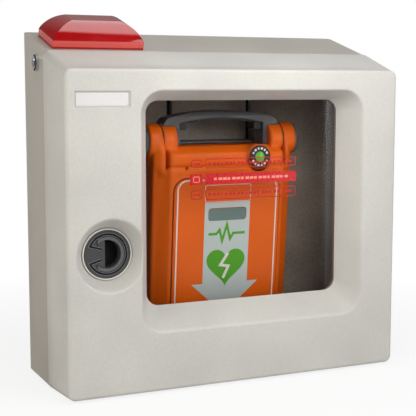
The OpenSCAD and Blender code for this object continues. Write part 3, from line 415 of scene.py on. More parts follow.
class Finish(Enum):
    """Every finish of the object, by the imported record's slot or the print's own name."""

    cabinet_plastic = Moulded(srgb(193, 191, 185), 0.42, 2.0, 0.22, 0.06)
    cabinet_paint = Moulded(srgb(171, 166, 157), 0.4, 2.0, 0.22, 0.06)
    panel_grey = Moulded(srgb(156, 142, 130), 0.45, 1.6, 0.35, 0.3)
    case_orange = Moulded(srgb(236, 100, 4), 0.42, 0.8, 0.1, 0.04, rounding=9.0)
    case_grey = Moulded(srgb(86, 85, 85), 0.42, 0.8, 0.15, 0.06, rounding=2.0)
    soft_dark = Moulded(srgb(52, 52, 54), 0.62, 1.1, 0.25, 0.08)
    black_plastic = Moulded(srgb(46, 46, 47), 0.42, 0.7, 0.3, 0.1)
    latch_grey = Moulded(srgb(66, 66, 68), 0.45, 0.9, 0.5, 0.3)
    ring_grey = Moulded(srgb(92, 92, 93), 0.4, 0.9, 0.3, 0.2)
    gasket_rubber = Moulded(srgb(24, 24, 24), 0.7, 0.6, 0.2, 0.1)
    battery_dark = Moulded(srgb(58, 58, 62), 0.55, 0.8, 0.15, 0.05)
    magnet_dark = Moulded(srgb(70, 70, 74), 0.6, 0.5, 0.3, 0.12)
    beacon_base_red = Moulded(srgb(150, 14, 16), 0.4, 0.8, 0.1, 0.05)
    reflector_white = Moulded(srgb(225, 225, 228), 0.25, 1.5, 0.05, 0.03)
    tube_glass = Moulded(srgb(235, 233, 220), 0.1, 2.0, 0.02, 0.03, 0.6)
    board_green = Moulded(srgb(24, 84, 48), 0.4, 2.5, 0.15, 0.18)
    pouch_foil = Moulded(srgb(222, 222, 216), 0.35, 7.0, 0.5, 0.05)
    capacitor_sleeve = Moulded(srgb(44, 50, 82), 0.35, 1.5, 0.05, 0.05)
    button_red = Moulded(srgb(208, 44, 30), 0.35, 0.8, 0.08, 0.04, 0.3)
    steel = Brushed(srgb(178, 178, 182), 0.36, metal=0.5)
    chrome = Brushed(srgb(222, 222, 226), 0.12, (1, 1, 1))
    brass = Brushed(srgb(196, 178, 128), 0.32, metal=0.6)
    beacon_red = TintedLens(srgb(190, 0, 8), 0.25, gloss=1.65)
    beacon_rim = Moulded(srgb(206, 82, 76), 0.25, 1.5, 0.05, 0.04, 0.5)
    indicator_green = TintedLens(srgb(140, 236, 96), 0.3, 0.12)
    window_smoke = TintedLens(srgb(128, 149, 143), 0.1, 0.15)
    pane_clear = Glazing()
    # White for print, and also for the painted highlight on the latch's lip.
    ink_white = Ink(srgb(232, 226, 218))
    ink_label = Ink(srgb(196, 206, 203))
    ink_green = Ink(srgb(86, 168, 38))
    # Light grey for the painted highlight along both edges of the latch's seam.
    ink_edge = Ink(srgb(160, 160, 160))
    # Black for painted shade: the latch's seam and cup, and the back panel's slots.
    ink_black = Ink(srgb(14, 14, 14), 0.7)
    # Dark orange for the painted shade round the lid's raised panel.
    ink_groove = Ink(srgb(112, 40, 4), 0.6)
    ink_red = Ink(srgb(186, 12, 22), 0.3)
    ink_blush = Ink(srgb(236, 142, 122), 0.3)
    plate_silver = Moulded(srgb(218, 217, 216), 0.3, 1.5, 0.05, 0.05, 0.3, 0.1)

    @property
    def material(self) -> Material:
        """The finish's material, made on first use."""
        return bpy.data.materials.get(self.name + LOOK) or self.value.make(self.name)

    @property
    def slot(self) -> str | None:
        """The record's slot that the finish belongs to, or none for print and plates."""
        return None if self.name.startswith(("ink", "plate")) else SHARED_SLOTS.get(self.name, self.name)


@dataclass(frozen=True)
class Lamp:
    """A square soft lamp that mirrors don't show."""

    name: str
    place: Point
    aim: Point
    side: float
    power: float
    colour: Colour = (1.0, 1.0, 1.0)

    def build(self) -> None:
        """Hangs the lamp at its place and turns it towards the point that it faces."""
        data = bpy.data.lights.new(self.name, "AREA")
        data.size, data.energy, data.color = self.side * MM, self.power, self.colour
        lamp = bpy.data.objects.new(self.name, data)
        away = np.array(self.place) - np.array(self.aim)
        flat = math.hypot(away[0], away[1])
        lamp.location = [x * MM for x in self.place]
        lamp.rotation_euler = (math.atan2(flat, away[2]), 0, math.atan2(away[0], -away[1]))
        lamp.visible_camera = False
        lamp.visible_glossy = False
        bpy.context.scene.collection.objects.link(lamp)


@dataclass(frozen=True)
class Glow:
    """A bright part of the mirrored room: dark to light over a ramp of the ray's direction along a way."""

    way: Point
    edge: Pair
    dark: float
    light: float


@dataclass
class Studio:
    """Camera at the photograph's viewing angle, soft light, white surroundings and a pale floor."""

    eye: Point = (-543.8, -1265.0, 151.6)
    pitch: float = -6.61
    heading: float = -24.45
    lens: float = 90.39
    sensor: float = 36.0
    clip: Pair = (0.05, 50.0)
    floor_z: float = -202.7
    floor_half: float = 6000.0
    floor_colour: Colour = srgb(240, 240, 240)
    fade_start: float = 300.0
    fade_end: float = 700.0
    fade_least: float = 0.82
    ambient: float = 0.42
    lamps: tuple[Lamp, ...] = (
        Lamp("key_light", (20, -450, 275), (0, -160, 60), 250, 0.86),
        Lamp("fill_light", (1405, -1500, 345), (0, -120, 0), 900, 9.5),
        Lamp("front_light", (-300, -1600, 250), (0, -120, 0), 500, 2.0),
        Lamp("top_light", (0, -300, 1100), (0, -150, 0), 700, 1.0),
        Lamp("side_light", (-1700, -700, 500), (0, -100, 0), 900, 13, (1.0, 0.95, 0.86)),
    )
    back_wall: Glow = Glow((0.3, 0.6, 0.6), (0.7, 0.9), 0.06, 0.3)
    ceiling: Glow = Glow((0.35, -0.1, 0.9), (0.66, 0.76), 0.0, 2.4)
    doorway: Glow = Glow((-0.3, 0.95, 0.0), (0.955, 0.97), 0.0, 0.35)
    window_slopes: tuple[Pair, ...] = ((0.5945, 0.8), (-0.25, 0.4))
    window_edges: Pair = (0.005, 0.22)
    window_ahead: Pair = (0.3, 0.4)
    window_light: float = 7.0

    def build(self) -> None:
        """Makes the camera, the lamps, the world and the floor."""
        bpy.context.scene.view_settings.view_transform = "Standard"
        self.camera()
        for lamp in self.lamps:
            lamp.build()
        self.world()
        self.floor()

    def camera(self) -> None:
        """Places the camera and makes it the scene's own."""
        data = bpy.data.cameras.new("camera")
        data.lens, data.sensor_width = self.lens, self.sensor
        data.clip_start, data.clip_end = self.clip
        camera = bpy.data.objects.new("camera", data)
        camera.location = [x * MM for x in self.eye]
        camera.rotation_euler = (math.radians(90 + self.pitch), 0, math.radians(self.heading))
        bpy.context.scene.collection.objects.link(camera)
        bpy.context.scene.camera = camera

    def world(self) -> None:
        """White to the eye, an even grey light, and for mirrors a dark room with a few bright parts."""
        world = bpy.data.worlds.new("surroundings")
        world.use_nodes = True
        bpy.context.scene.world = world
        graph = Graph.of(world.node_tree)
        ray = graph.add("ShaderNodeLightPath").outputs
        way = graph.add("ShaderNodeTexCoord").outputs["Generated"]
        room = self.lit_window(graph, way)
        for glow in (self.back_wall, self.ceiling, self.doorway):
            along = graph.add("ShaderNodeVectorMath", {0: way, 1: glow.way}, operation="DOT_PRODUCT")
            light = graph.ramp(along.outputs["Value"], *glow.edge, glow.dark, glow.light)
            room = graph.compute("ADD", room, light)
        seen = graph.compute("MAXIMUM", ray["Is Camera Ray"], ray["Is Transmission Ray"])
        soft = graph.add("ShaderNodeMix", {0: ray["Is Glossy Ray"], 2: self.ambient, 3: room}).outputs[0]
        strength = graph.add("ShaderNodeMix", {0: seen, 2: soft, 3: 1.0}).outputs[0]
        background = graph.add("ShaderNodeBackground", {"Color": WHITE, "Strength": strength}).outputs[0]
        graph.tree.links.new(background, graph.add("ShaderNodeOutputWorld").inputs[0])

    def lit_window(self, graph: Graph, way: Socket) -> Socket:
        """A bright window in front and to the right, as mirrors show it.

        Args:
            graph: The world's tree.
            way: The ray's direction.

        Returns:
            Its brightness: strength within the slopes x / -y and z / -y, and 0 elsewhere.
        """
        part = graph.add("ShaderNodeSeparateXYZ", {0: way}).outputs
        front = graph.compute("MULTIPLY", part[1], -1.0)
        lit = self.window_light
        for axis, (low, high), edge in zip((0, 2), self.window_slopes, self.window_edges):
            slope = graph.compute("DIVIDE", part[axis], front)
            for start, end in ((low, low + edge), (high, high - edge)):
                lit = graph.compute("MULTIPLY", graph.ramp(slope, start, end, 0, 1), lit)
        return graph.compute("MULTIPLY", graph.ramp(front, *self.window_ahead, 0, 1), lit)

    def floor(self) -> None:
        """A large pale floor that keeps the shadow and turns white away from the object."""
        mesh = bpy.data.meshes.new("floor")
        corners = np.array([[-1, -1, 0], [1, -1, 0], [1, 1, 0], [-1, 1, 0]]) * self.floor_half * MM
        corners[:, 2] = self.floor_z * MM
        mesh.from_pydata(corners.tolist(), [], [(0, 1, 2, 3)])
        floor = bpy.data.objects.new("floor", mesh)
        bpy.context.scene.collection.objects.link(floor)
        graph = Graph("floor")
        distance = graph.add("ShaderNodeVectorMath", {0: graph.place}, operation="LENGTH").outputs["Value"]
        share = graph.ramp(distance, self.fade_start * MM, self.fade_end * MM, self.fade_least, 1)
        ray = graph.add("ShaderNodeLightPath").outputs
        shown = ray["Is Camera Ray"]
        for kind in ("Is Glossy Ray", "Is Transmission Ray"):
            shown = graph.compute("MAXIMUM", shown, ray[kind])
        matt = graph.add("ShaderNodeBsdfDiffuse", {"Color": (*self.floor_colour, 1)}).outputs[0]
        white = graph.add("ShaderNodeEmission", {"Color": WHITE, "Strength": 1.0}).outputs[0]
        mesh.materials.append(graph.blend(graph.compute("MULTIPLY", share, shown), matt, white))
        floor.visible_glossy = False


class Dresser:
    """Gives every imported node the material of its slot."""

    worn: dict[Finish, str] = {
        Finish.cabinet_paint: "cabinet_shell front_frame",
        Finish.cabinet_plastic: "door_shell pane_retainer",
        Finish.panel_grey: "back_panel",
        Finish.steel: "aed_cradle hinge_body_leaves hinge_door_leaves hinge_pins strike_bracket ring_pin "
                      "bolt_spring lid_hinge_pins key_switch_nut",
        Finish.chrome: "key_switch_barrel key_plug",
        Finish.brass: "latch_bolt",
        Finish.black_plastic: "key_switch_contacts alarm_case alarm_siren latch_nut indicator_bezel speaker "
                              "display_module",
        Finish.latch_grey: "latch_housing",
        Finish.ring_grey: "pull_ring",
        Finish.beacon_base_red: "beacon_base",
        Finish.beacon_red: "beacon_lens",
        Finish.reflector_white: "beacon_reflector reed_switch",
        Finish.tube_glass: "strobe_tube",
        Finish.board_green: "alarm_board main_board",
        Finish.battery_dark: "alarm_battery battery_pack",
        Finish.gasket_rubber: "pane_gasket",
        Finish.pane_clear: "window_pane",
        Finish.magnet_dark: "door_magnet",
        Finish.case_grey: "aed_rear_case aed_handle ear_caps control_deck",
        Finish.soft_dark: "side_bumpers handle_grip",
        Finish.case_orange: "aed_front_case aed_lid",
        Finish.window_smoke: "lid_window",
        Finish.indicator_green: "indicator_lens",
        Finish.button_red: "shock_button",
        Finish.pouch_foil: "electrode_pouch",
        Finish.capacitor_sleeve: "shock_capacitor",
    }
    slots: dict[str, Finish] = {node: finish for finish, nodes in worn.items() for node in nodes.split()}

    def dress(self) -> None:
        """Replaces each node's plain material."""
        for name, node in frame["nodes"].items():
            node.data.materials.clear()
            node.data.materials.append(self.slots[name].material)
            log.info("dressed %s as %s", name, self.slots[name].name)


def smooth_max(a: Array, b: Array, width: float) -> Array:
    """The larger of two heights with a rounded edge: max(a, b) + max(width - |a - b|, 0)^2 / (4 width)."""
    return np.maximum(a, b) + np.maximum(width - np.abs(a - b), 0) ** 2 / (4 * width)


def lines(stops: list[float], steps: list[float]) -> Array:
    """Grid lines between stops.

    Args:
        stops: Values to pass through, rising or falling.
        steps: About the distance of the lines in each stretch between two stops.

    Returns:
        All the lines, with the first and the last stop.
    """
    parts = [np.linspace(a, b, max(1, round(abs(b - a) / step)), endpoint=False)
             for a, b, step in zip(stops, stops[1:], steps)]
    return np.append(np.concatenate(parts), stops[-1])


def joined(*runs: Array) -> Array:
    """One run of grid lines from several, each without its last line, which starts the next."""
    return np.concatenate([run[:-1] for run in runs])


def on_circle(turn: Array) -> Array:
    """Points of the unit circle at angles in radians, stacked along a last axis of 2."""
    return np.stack([np.cos(turn), np.sin(turn)], -1)


def at_depth(x: Array, z: Array, y: Array | float) -> Array:
    """Points from their plan and their depth, stacked along a last axis of 3."""
    return np.stack(np.broadcast_arrays(x, y, z), -1)


def facing(y: float, centre: Pair = (0.0, 0.0)) -> Lay:
    """A rule that lays flat points round a centre on an upright face at y, lifted towards the front."""
    return lambda flat, lift: at_depth(flat[..., 0] + centre[0], flat[..., 1] + centre[1], y - lift)


def place(name: str, mesh: bpy.types.Mesh, finish: Finish, body: str, crease: float) -> bpy.types.Object:
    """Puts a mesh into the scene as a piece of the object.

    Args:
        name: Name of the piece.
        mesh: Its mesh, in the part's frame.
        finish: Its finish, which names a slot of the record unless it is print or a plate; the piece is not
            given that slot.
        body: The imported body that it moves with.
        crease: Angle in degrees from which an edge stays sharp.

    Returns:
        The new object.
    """
    piece = bpy.data.objects.new(name, mesh)
    bpy.context.scene.collection.objects.link(piece)
    mesh.materials.clear()
    mesh.materials.append(finish.material)
    mesh.shade_smooth()
    mesh.set_sharp_from_angle(angle=math.radians(crease))
    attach(piece, body)
    if finish.slot:
        finish.slot
    log.info("made %s with %d faces", name, len(mesh.polygons))
    return piece


class Skin:
    """A closed mesh put together from grids of quads whose edges meet."""

    merge: float = 0.01

    def __init__(self, name: str) -> None:
        """Starts without patches.

        Args:
            name: Name of the piece.
        """
        self.name = name
        self.points: list[Array] = []
        self.faces: list[list[int]] = []
        self.count = 0

    def grid(self, points: Array, wrap: bool = False, keep: Array | None = None) -> None:
        """Adds quads between the neighbours of a grid of points.

        Args:
            points: Rows by columns by 3, in millimetres.
            wrap: Whether the last column meets the first.
            keep: Which quads to keep, rows - 1 by columns - 1; all if it is left out.
        """
        rows, columns = points.shape[:2]
        index = np.arange(rows * columns).reshape(rows, columns) + self.count
        if wrap:
            index = np.hstack([index, index[:, :1]])
        quads = np.stack([index[:-1, :-1], index[:-1, 1:], index[1:, 1:], index[1:, :-1]], -1)
        quads = quads.reshape(-1, 4) if keep is None else quads[keep]
        self.points.append(points.reshape(-1, 3))
        self.faces.extend(quads.tolist())
        self.count += rows * columns

    def slab(self, front: Array, back: Array, wrap: bool = False) -> None:
        """Adds a closed plate between two grids of the same shape.

        Args:
            front: The outer grid, rows by columns by 3.
            back: The inner grid.
            wrap: Whether the last column meets the first.
        """
        self.grid(front, wrap)
        self.grid(back, wrap)
        for row in (0, -1):
            self.grid(np.stack([front[row], back[row]]), wrap)
        for column in () if wrap else (0, -1):
            self.grid(np.stack([front[:, column], back[:, column]]))

    def build(self, finish: Finish, body: str, crease: float = 40.0) -> bpy.types.Object:
        """Joins the patches where they meet and turns the faces outward.

        Args:
            finish: The piece's finish.
            body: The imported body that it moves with.
            crease: Angle in degrees from which an edge stays sharp.

        Returns:
            The new object.
        """
        mesh = bpy.data.meshes.new(self.name)
        mesh.from_pydata((np.concatenate(self.points) * MM).tolist(), [], self.faces)
        work = bmesh.new()
        work.from_mesh(mesh)
        bmesh.ops.remove_doubles(work, verts=work.verts, dist=self.merge * MM)
        bmesh.ops.recalc_face_normals(work, faces=work.faces)
        work.to_mesh(mesh)
        work.free()
        return place(self.name, mesh, finish, body, crease)


def soften(node: str, width: float, segments: int = 2, angle: float = 30.0, level: float = 0.3) -> None:
    """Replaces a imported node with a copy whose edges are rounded.

    Args:
        node: The node's name.
        width: Width of the rounding, in millimetres.
        segments: Number of steps across the rounding.
        angle: Angle in degrees from which an edge is rounded.
        level: Angle in degrees up to which neighbouring facets are made one face first.
    """
    source = frame["nodes"][node]
    mesh = source.data.copy()
    work = bmesh.new()
    work.from_mesh(mesh)
    bmesh.ops.remove_doubles(work, verts=work.verts, dist=Skin.merge * MM)
    bmesh.ops.dissolve_limit(work, angle_limit=math.radians(level), verts=work.verts, edges=work.edges)
    work.to_mesh(mesh)
    work.free()
    piece = place(node + "_soft", mesh, Dresser.slots[node], body_of(source)[0], crease=40)
    edges = piece.modifiers.new("edges", "BEVEL")
    edges.width, edges.segments, edges.limit_method = width * MM, segments, "ANGLE"
    edges.angle_limit = math.radians(angle)
    edges.harden_normals = True
    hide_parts(node)


@dataclass(frozen=True)
class Rect:
    """An upright rectangle with round corners, seen from the front."""

    left: float
    right: float
    foot: float
    head: float
    corner: float = 0.0

    def grown(self, by: float) -> "Rect":
        """The rectangle at a parallel distance outside this one, with corners round the same centres."""
        return Rect(self.left - by, self.right + by, self.foot - by, self.head + by, max(self.corner + by, 0))

    def toward(self, other: "Rect", share: float) -> "Rect":
        """The rectangle at a share of the way to another."""
        pairs = zip(self.sizes, other.sizes)
        return Rect(*(a + (b - a) * share for a, b in pairs))

    @property
    def sizes(self) -> tuple[float, ...]:
        """The four sides' places and the corner's radius."""
        return self.left, self.right, self.foot, self.head, self.corner

    @property
    def middle(self) -> Pair:
        """The rectangle's middle."""
        return (self.left + self.right) / 2, (self.foot + self.head) / 2

    @property
    def centres(self) -> Array:
        """The corners' centres, from the upper left one to the right and round.

        Returns:
            The centres, rows of x and z.
        """
        box = self.grown(-self.corner)
        across, up = (box.left, box.right, box.right, box.left), (box.head, box.head, box.foot, box.foot)
        return np.array([across, up]).T

    def over(self, x: Array, z: Array) -> tuple[Array, Array]:
        """How far points lie beyond the corners' centres, across and up, negative between them."""
        across = np.abs(x - self.middle[0]) - (self.right - self.left) / 2 + self.corner
        return across, np.abs(z - self.middle[1]) - (self.head - self.foot) / 2 + self.corner

    def pressed(self, x: Array, z: Array) -> tuple[Array, Array]:
        """Presses the square corners of a pattern into this rectangle's round ones.

        A point at (a, b) from a corner's centre, both positive, moves to (a, b) max(a, b) / |(a, b)|.

        Args:
            x, z: The pattern's points, inside the rectangle with square corners.

        Returns:
            The points' new x and z.
        """
        over_x, over_z = (np.maximum(over, 0) for over in self.over(x, z))
        length = np.hypot(over_x, over_z)
        short = np.where(length > 0, 1 - np.maximum(over_x, over_z) / np.maximum(length, 1e-9), 0)
        side_x, side_z = np.sign(x - self.middle[0]), np.sign(z - self.middle[1])
        return x - side_x * over_x * short, z - side_z * over_z * short

    def outline(self, corner_steps: int = 8) -> Array:
        """The rectangle's outline as a closed run of points.

        Args:
            corner_steps: Number of steps round each corner.

        Returns:
            The points, rows of x and z, from the upper right corner to the left and round.
        """
        turn = np.linspace(0, math.pi / 2, corner_steps + 1)
        return np.concatenate([centre + self.corner * on_circle(turn + k * math.pi / 2)
                               for k, centre in enumerate(self.centres[[1, 0, 3, 2]])])


@dataclass
class DoorShell:
    """Moulded door: a deep tray whose bevelled window reveal meets the conical recess of the latch."""

    front: Rect = Rect(-215, 215, -200, 172, 9)
    window: Rect = Rect(-108, 148, -105.5, 136, 15)
    mouth: Rect = Rect(-126.5, 166.5, -130.5, 148, 27)
    plate: Rect = Rect(-204.5, -138.5, 128.5, 147.5, 2)
    plate_depth: float = 2.5
    pocket_slope: float = 2.0
    bevel_depth: float = 35.0
    latch: Pair = (-162.0, -37.5)
    recess_r: float = 42.0
    recess_floor_r: float = 30.0
    recess_depth: float = 21.0
    hole_r: float = 24.5
    wall: float = 3.0
    roll: float = 4.5
    flange: float = 14.0
    soft: float = 3.0
    crisp: float = 1.0
    seam: float = 4.5
    rim_edge: float = 0.7
    recess_margin: float = 2.0
    pocket_margin: float = 1.5
    fine: float = 0.9
    edge_step: float = 1.5
    pocket_step: float = 0.7
    head_step: float = 3.0
    seam_step: float = 5.0
    end_step: float = 9.0
    low_step: float = 10.0
    mid_steps: Pair = (8.0, 11.0)
    wide_step: float = 14.0
    slope_lines: int = 6
    lip_rises: Pair = (0.8, 4.0)
    lip_lines: int = 5
    roll_lines: int = 9
    rim_lines: int = 4
    side_shares: Pair = (0.3, 0.65)

    def build(self) -> None:
        """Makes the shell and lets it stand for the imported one."""
        low, high = node_box("door_shell")
        self.front_y, self.rim_y = low[1], high[1]
        self.rim = Rect(low[0], high[0], low[2], high[2], self.front.corner)
        self.inset = self.front.grown(-self.roll)
        self.seam_x = self.mouth.left - self.seam
        self.rule()
        skin = Skin("door_shell_soft")
        for inside in (False, True):
            self.strip(skin, inside)
            self.surround(skin, inside)
        self.edge_bands(skin)
        piece = skin.build(Finish.cabinet_plastic, "door", crease=32)
        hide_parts("door_shell")

    def rule(self) -> None:
        """Settles the grid lines: fine over the recess and the plate's pocket, wide on the flat."""
        face, mouth, plate = self.inset, self.mouth, self.plate
        z0 = self.latch[1]
        reach = self.recess_r + self.recess_margin
        corner = 2 * self.roll
        pocket = plate.grown(self.pocket_margin)
        z_foot, z_head = mouth.foot + mouth.corner, mouth.head - mouth.corner
        x_left, x_right = mouth.left + mouth.corner, mouth.right - mouth.corner
        below, above = self.mid_steps
        edge, end = self.edge_step, self.end_step
        self.z_low = lines([face.foot, face.foot + corner, z_foot], [edge, self.low_step])
        self.z_mid = lines([z_foot, z0 - reach, z0 + reach, z_head], [below, self.fine, above])
        self.z_high = lines([z_head, pocket.foot, pocket.head, face.head - corner, face.head],
                            [self.head_step, self.pocket_step, self.head_step, edge])
        self.x_strip = lines([face.left, self.seam_x], [self.fine])
        self.x_seam = lines([self.seam_x, x_left], [self.seam_step])
        self.x_mid = lines([x_left, x_right], [self.wide_step])
        self.x_end = lines([x_right, face.right - corner, face.right], [end, edge])
        self.z_end_high = lines([face.head, face.head - corner, z_head], [edge, end])
        self.z_right = lines([z_head, z_foot], [self.wide_step])
        self.z_end_low = lines([z_foot, face.foot + corner, face.foot], [end, edge])

    def cut(self, x: Array, z: Array, bevel: Array | float, skin: float) -> Array:
        """Depth of the front's surface, or of its inner side, behind the front plane.

        The face is at skin. The recess is a cone that ends on its floor, the pocket a shallow tray, and
        all meet each other and the bevel along rounded edges.

        Args:
            x, z: Places on the front.
            bevel: Depth of the window's bevel there, negative on the flat.
            skin: 0 for the outer side, or the wall's thickness for the inner side.

        Returns:
            The depth in millimetres, positive into the door.
        """
        slope = self.recess_depth / (self.recess_r - self.recess_floor_r)
        lead = skin * math.hypot(1, slope)
        cone = (self.recess_r - np.hypot(x - self.latch[0], z - self.latch[1])) * slope + lead
        cone = -smooth_max(-cone, np.full_like(cone, -self.recess_depth - skin), self.crisp)
        over_x, over_z = self.plate.over(x, z)
        beyond = np.hypot(np.maximum(over_x, 0), np.maximum(over_z, 0))
        outside = beyond + np.minimum(np.maximum(over_x, over_z), 0)
        pocket = (self.plate.corner - outside + skin) * self.pocket_slope
        pocket = -smooth_max(-pocket, np.full_like(pocket, -self.plate_depth - skin), self.crisp)
        depth = smooth_max(np.full_like(cone, skin), np.broadcast_to(bevel, cone.shape), self.soft)
        return smooth_max(smooth_max(depth, cone, self.soft), pocket, self.crisp)

    def strip(self, skin: Skin, inside: bool) -> None:
        """Adds the left part of the front, with the recess, the pocket and the latch's hole.

        Args:
            skin: The mesh to add to.
            inside: Whether to make the inner side instead of the outer one.
        """
        rows = np.append(joined(self.z_low, self.z_mid), self.z_high)
        x, z = np.meshgrid(self.x_strip, rows)
        depth = self.cut(x, z, -self.bevel_depth, self.wall * inside)
        mid_x, mid_z = (x[1:, 1:] + x[:-1, :-1]) / 2, (z[1:, 1:] + z[:-1, :-1]) / 2
        kept = np.hypot(mid_x - self.latch[0], mid_z - self.latch[1]) > self.hole_r
        x, z = self.inset.pressed(x, z)
        points = at_depth(x, z, self.front_y + depth)
        skin.grid(points, keep=kept)
        if inside:
            self.hole(skin, points, kept)

    def hole(self, skin: Skin, inner: Array, kept: Array) -> None:
        """Closes the latch's hole with a wall between the two sides, along the quads left out.

        Args:
            skin: The mesh to add to.
            inner: The inner side's grid of points.
            kept: Which quads were kept.
        """
        outer = inner - np.array([0, self.wall, 0])
        along = np.argwhere(kept[1:, :] != kept[:-1, :]) + [1, 0]
        up = np.argwhere(kept[:, 1:] != kept[:, :-1]) + [0, 1]
        for ends, step in ((along, [0, 1]), (up, [1, 0])):
            a, b = tuple(ends.T), tuple((ends + step).T)
            quads = np.stack([outer[a], outer[b], inner[b], inner[a]], 1)
            index = np.arange(len(quads) * 4).reshape(-1, 4) + skin.count
            skin.points.append(quads.reshape(-1, 3))
            skin.faces.extend(index.tolist())
            skin.count += len(quads) * 4

    def loop(self, shape: Rect) -> tuple[Array, Array]:
        """A loop round the window whose points match the lines of the rest of the front.

        Args:
            shape: The loop's rounded rectangle.

        Returns:
            The points' x and z, from the left side's foot upward and round.
        """
        sides = [self.z_mid, self.x_mid, self.z_right, self.x_mid[::-1]]
        corners = [(self.z_high, self.x_seam), (self.x_end, self.z_end_high),
                   (self.z_end_low, self.x_end[::-1]), (self.x_seam[::-1], self.z_low)]
        points = []
        for k, (side, corner) in enumerate(zip(sides, corners)):
            begin = math.pi - k * math.pi / 2
            share = (side[:-1] - side[0]) / (side[-1] - side[0])
            before, after = shape.centres[k - 1], shape.centres[k]
            out = shape.corner * on_circle(np.array(begin))
            turn = np.concatenate([np.arange(len(half) - 1) / (len(half) - 1) / 2 + part / 2
                                   for part, half in enumerate(corner)])
            points += [before + out + np.outer(share, after - before),
                       after + shape.corner * on_circle(begin - turn * math.pi / 2)]
        return tuple(np.concatenate(points).T)

    def ring(self, left: float, *runs: Array) -> tuple[Array, Array]:
        """Points along an upright line and the front's other three edges.

        Args:
            left: The line's x.
            runs: The grid lines of the head and the foot, from the line to the right.

        Returns:
            The points' x and z, from the line's foot upward and round.
        """
        face = self.inset
        z_left = joined(self.z_low, self.z_mid, self.z_high)
        x_head = joined(*runs)
        z_right = joined(self.z_end_high, self.z_right, self.z_end_low)
        x_foot = joined(*(run[::-1] for run in reversed(runs)))
        x = [np.full_like(z_left, left), x_head, np.full_like(z_right, face.right), x_foot]
        z = [z_left, np.full_like(x_head, face.head), z_right, np.full_like(x_foot, face.foot)]
        return np.concatenate(x), np.concatenate(z)

    def border(self) -> list[Array]:
        """The loop along the seam and the front's other edges, begun at the same place as the other loops."""
        ring = self.ring(self.seam_x, self.x_seam, self.x_mid, self.x_end)
        return [np.roll(run, 1 - len(self.z_low)) for run in ring]

    def surround(self, skin: Skin, inside: bool) -> None:
        """Adds the front round the window with its bevel, or the inner side with the pane's flange.

        Args:
            skin: The mesh to add to.
            inside: Whether to make the inner side instead of the outer one.
        """
        window, mouth, deep = self.window, self.mouth, self.bevel_depth
        across = window.left - mouth.left
        if inside:
            seat = window.grown(self.flange)
            foot = deep - self.wall
            start = mouth.grown(self.wall)
            inner = window.toward(mouth, self.wall / deep).grown(self.wall)
            near = Rect(*(max(a, b) if k in (1, 3) else min(a, b)
                          for k, (a, b) in enumerate(zip(inner.sizes, seat.sizes))))
            shapes = [(window, deep), (seat, deep), (near, foot)]
            shapes += [(near.toward(start, share), foot + (self.wall - foot) * share)
                       for share in np.linspace(0, 1, self.slope_lines)[1:]]
        else:
            shapes = [(window.toward(mouth, share), deep * (1 - share))
                      for share in np.linspace(0, 1, round(across / self.fine) + 1)]
            shapes += [(mouth.grown(rise), -deep / across * rise)
                       for rise in np.linspace(*self.lip_rises, self.lip_lines)]
        rows = [(*self.loop(shape), depth) for shape, depth in shapes]
        rows.append((*self.border(), -deep))
        x, z = np.array([row[0] for row in rows]), np.array([row[1] for row in rows])
        bevel = np.array([np.full_like(row[0], row[2]) for row in rows])
        depth = self.cut(x, z, bevel, self.wall * inside)
        x, z = self.inset.pressed(x, z)
        skin.grid(at_depth(x, z, self.front_y + depth), wrap=True)

    def edge_bands(self, skin: Skin) -> None:
        """Adds the rolled edge, the sides, the rim and the inner sides, as loops round the whole outline.

        Args:
            skin: The mesh to add to.
        """
        face, front, rim = self.inset, self.front, self.rim
        x, z = self.ring(face.left, self.x_strip, self.x_seam, self.x_mid, self.x_end)
        across, up = (x - face.left) / (face.right - face.left), (z - face.foot) / (face.head - face.foot)
        roll_arc, rim_arc = (on_circle(np.linspace(0, math.pi / 2, count))
                             for count in (self.roll_lines, self.rim_lines))
        roll, wall, edge, thin = self.roll, self.wall, self.rim_edge, self.roll - self.wall
        inner_front, inner_rim = front.grown(-wall), rim.grown(-wall)
        start, end = self.front_y + roll, self.rim_y - edge
        shapes = [(front.grown(-roll * (1 - sin)), start - roll * cos) for cos, sin in roll_arc]
        shapes += [(front.toward(rim, share), start + (end - start) * share) for share in self.side_shares]
        shapes += [(rim.grown(-edge * (1 - cos)), end + edge * sin) for cos, sin in rim_arc]
        shapes += [(inner_rim.grown(edge * (1 - cos)), end + edge * sin) for cos, sin in rim_arc[::-1]]
        shapes += [(inner_rim.toward(inner_front, share), end + (start - end) * share)
                   for share in self.side_shares]
        shapes += [(inner_front.grown(-thin * (1 - cos)), start - thin * sin) for cos, sin in rim_arc]
        loops = []
        for shape, y in shapes:
            at_x, at_z = shape.pressed(shape.left + across * (shape.right - shape.left),
                                       shape.foot + up * (shape.head - shape.foot))
            loops.append(at_depth(at_x, at_z, y))
        skin.grid(np.array(loops), wrap=True)


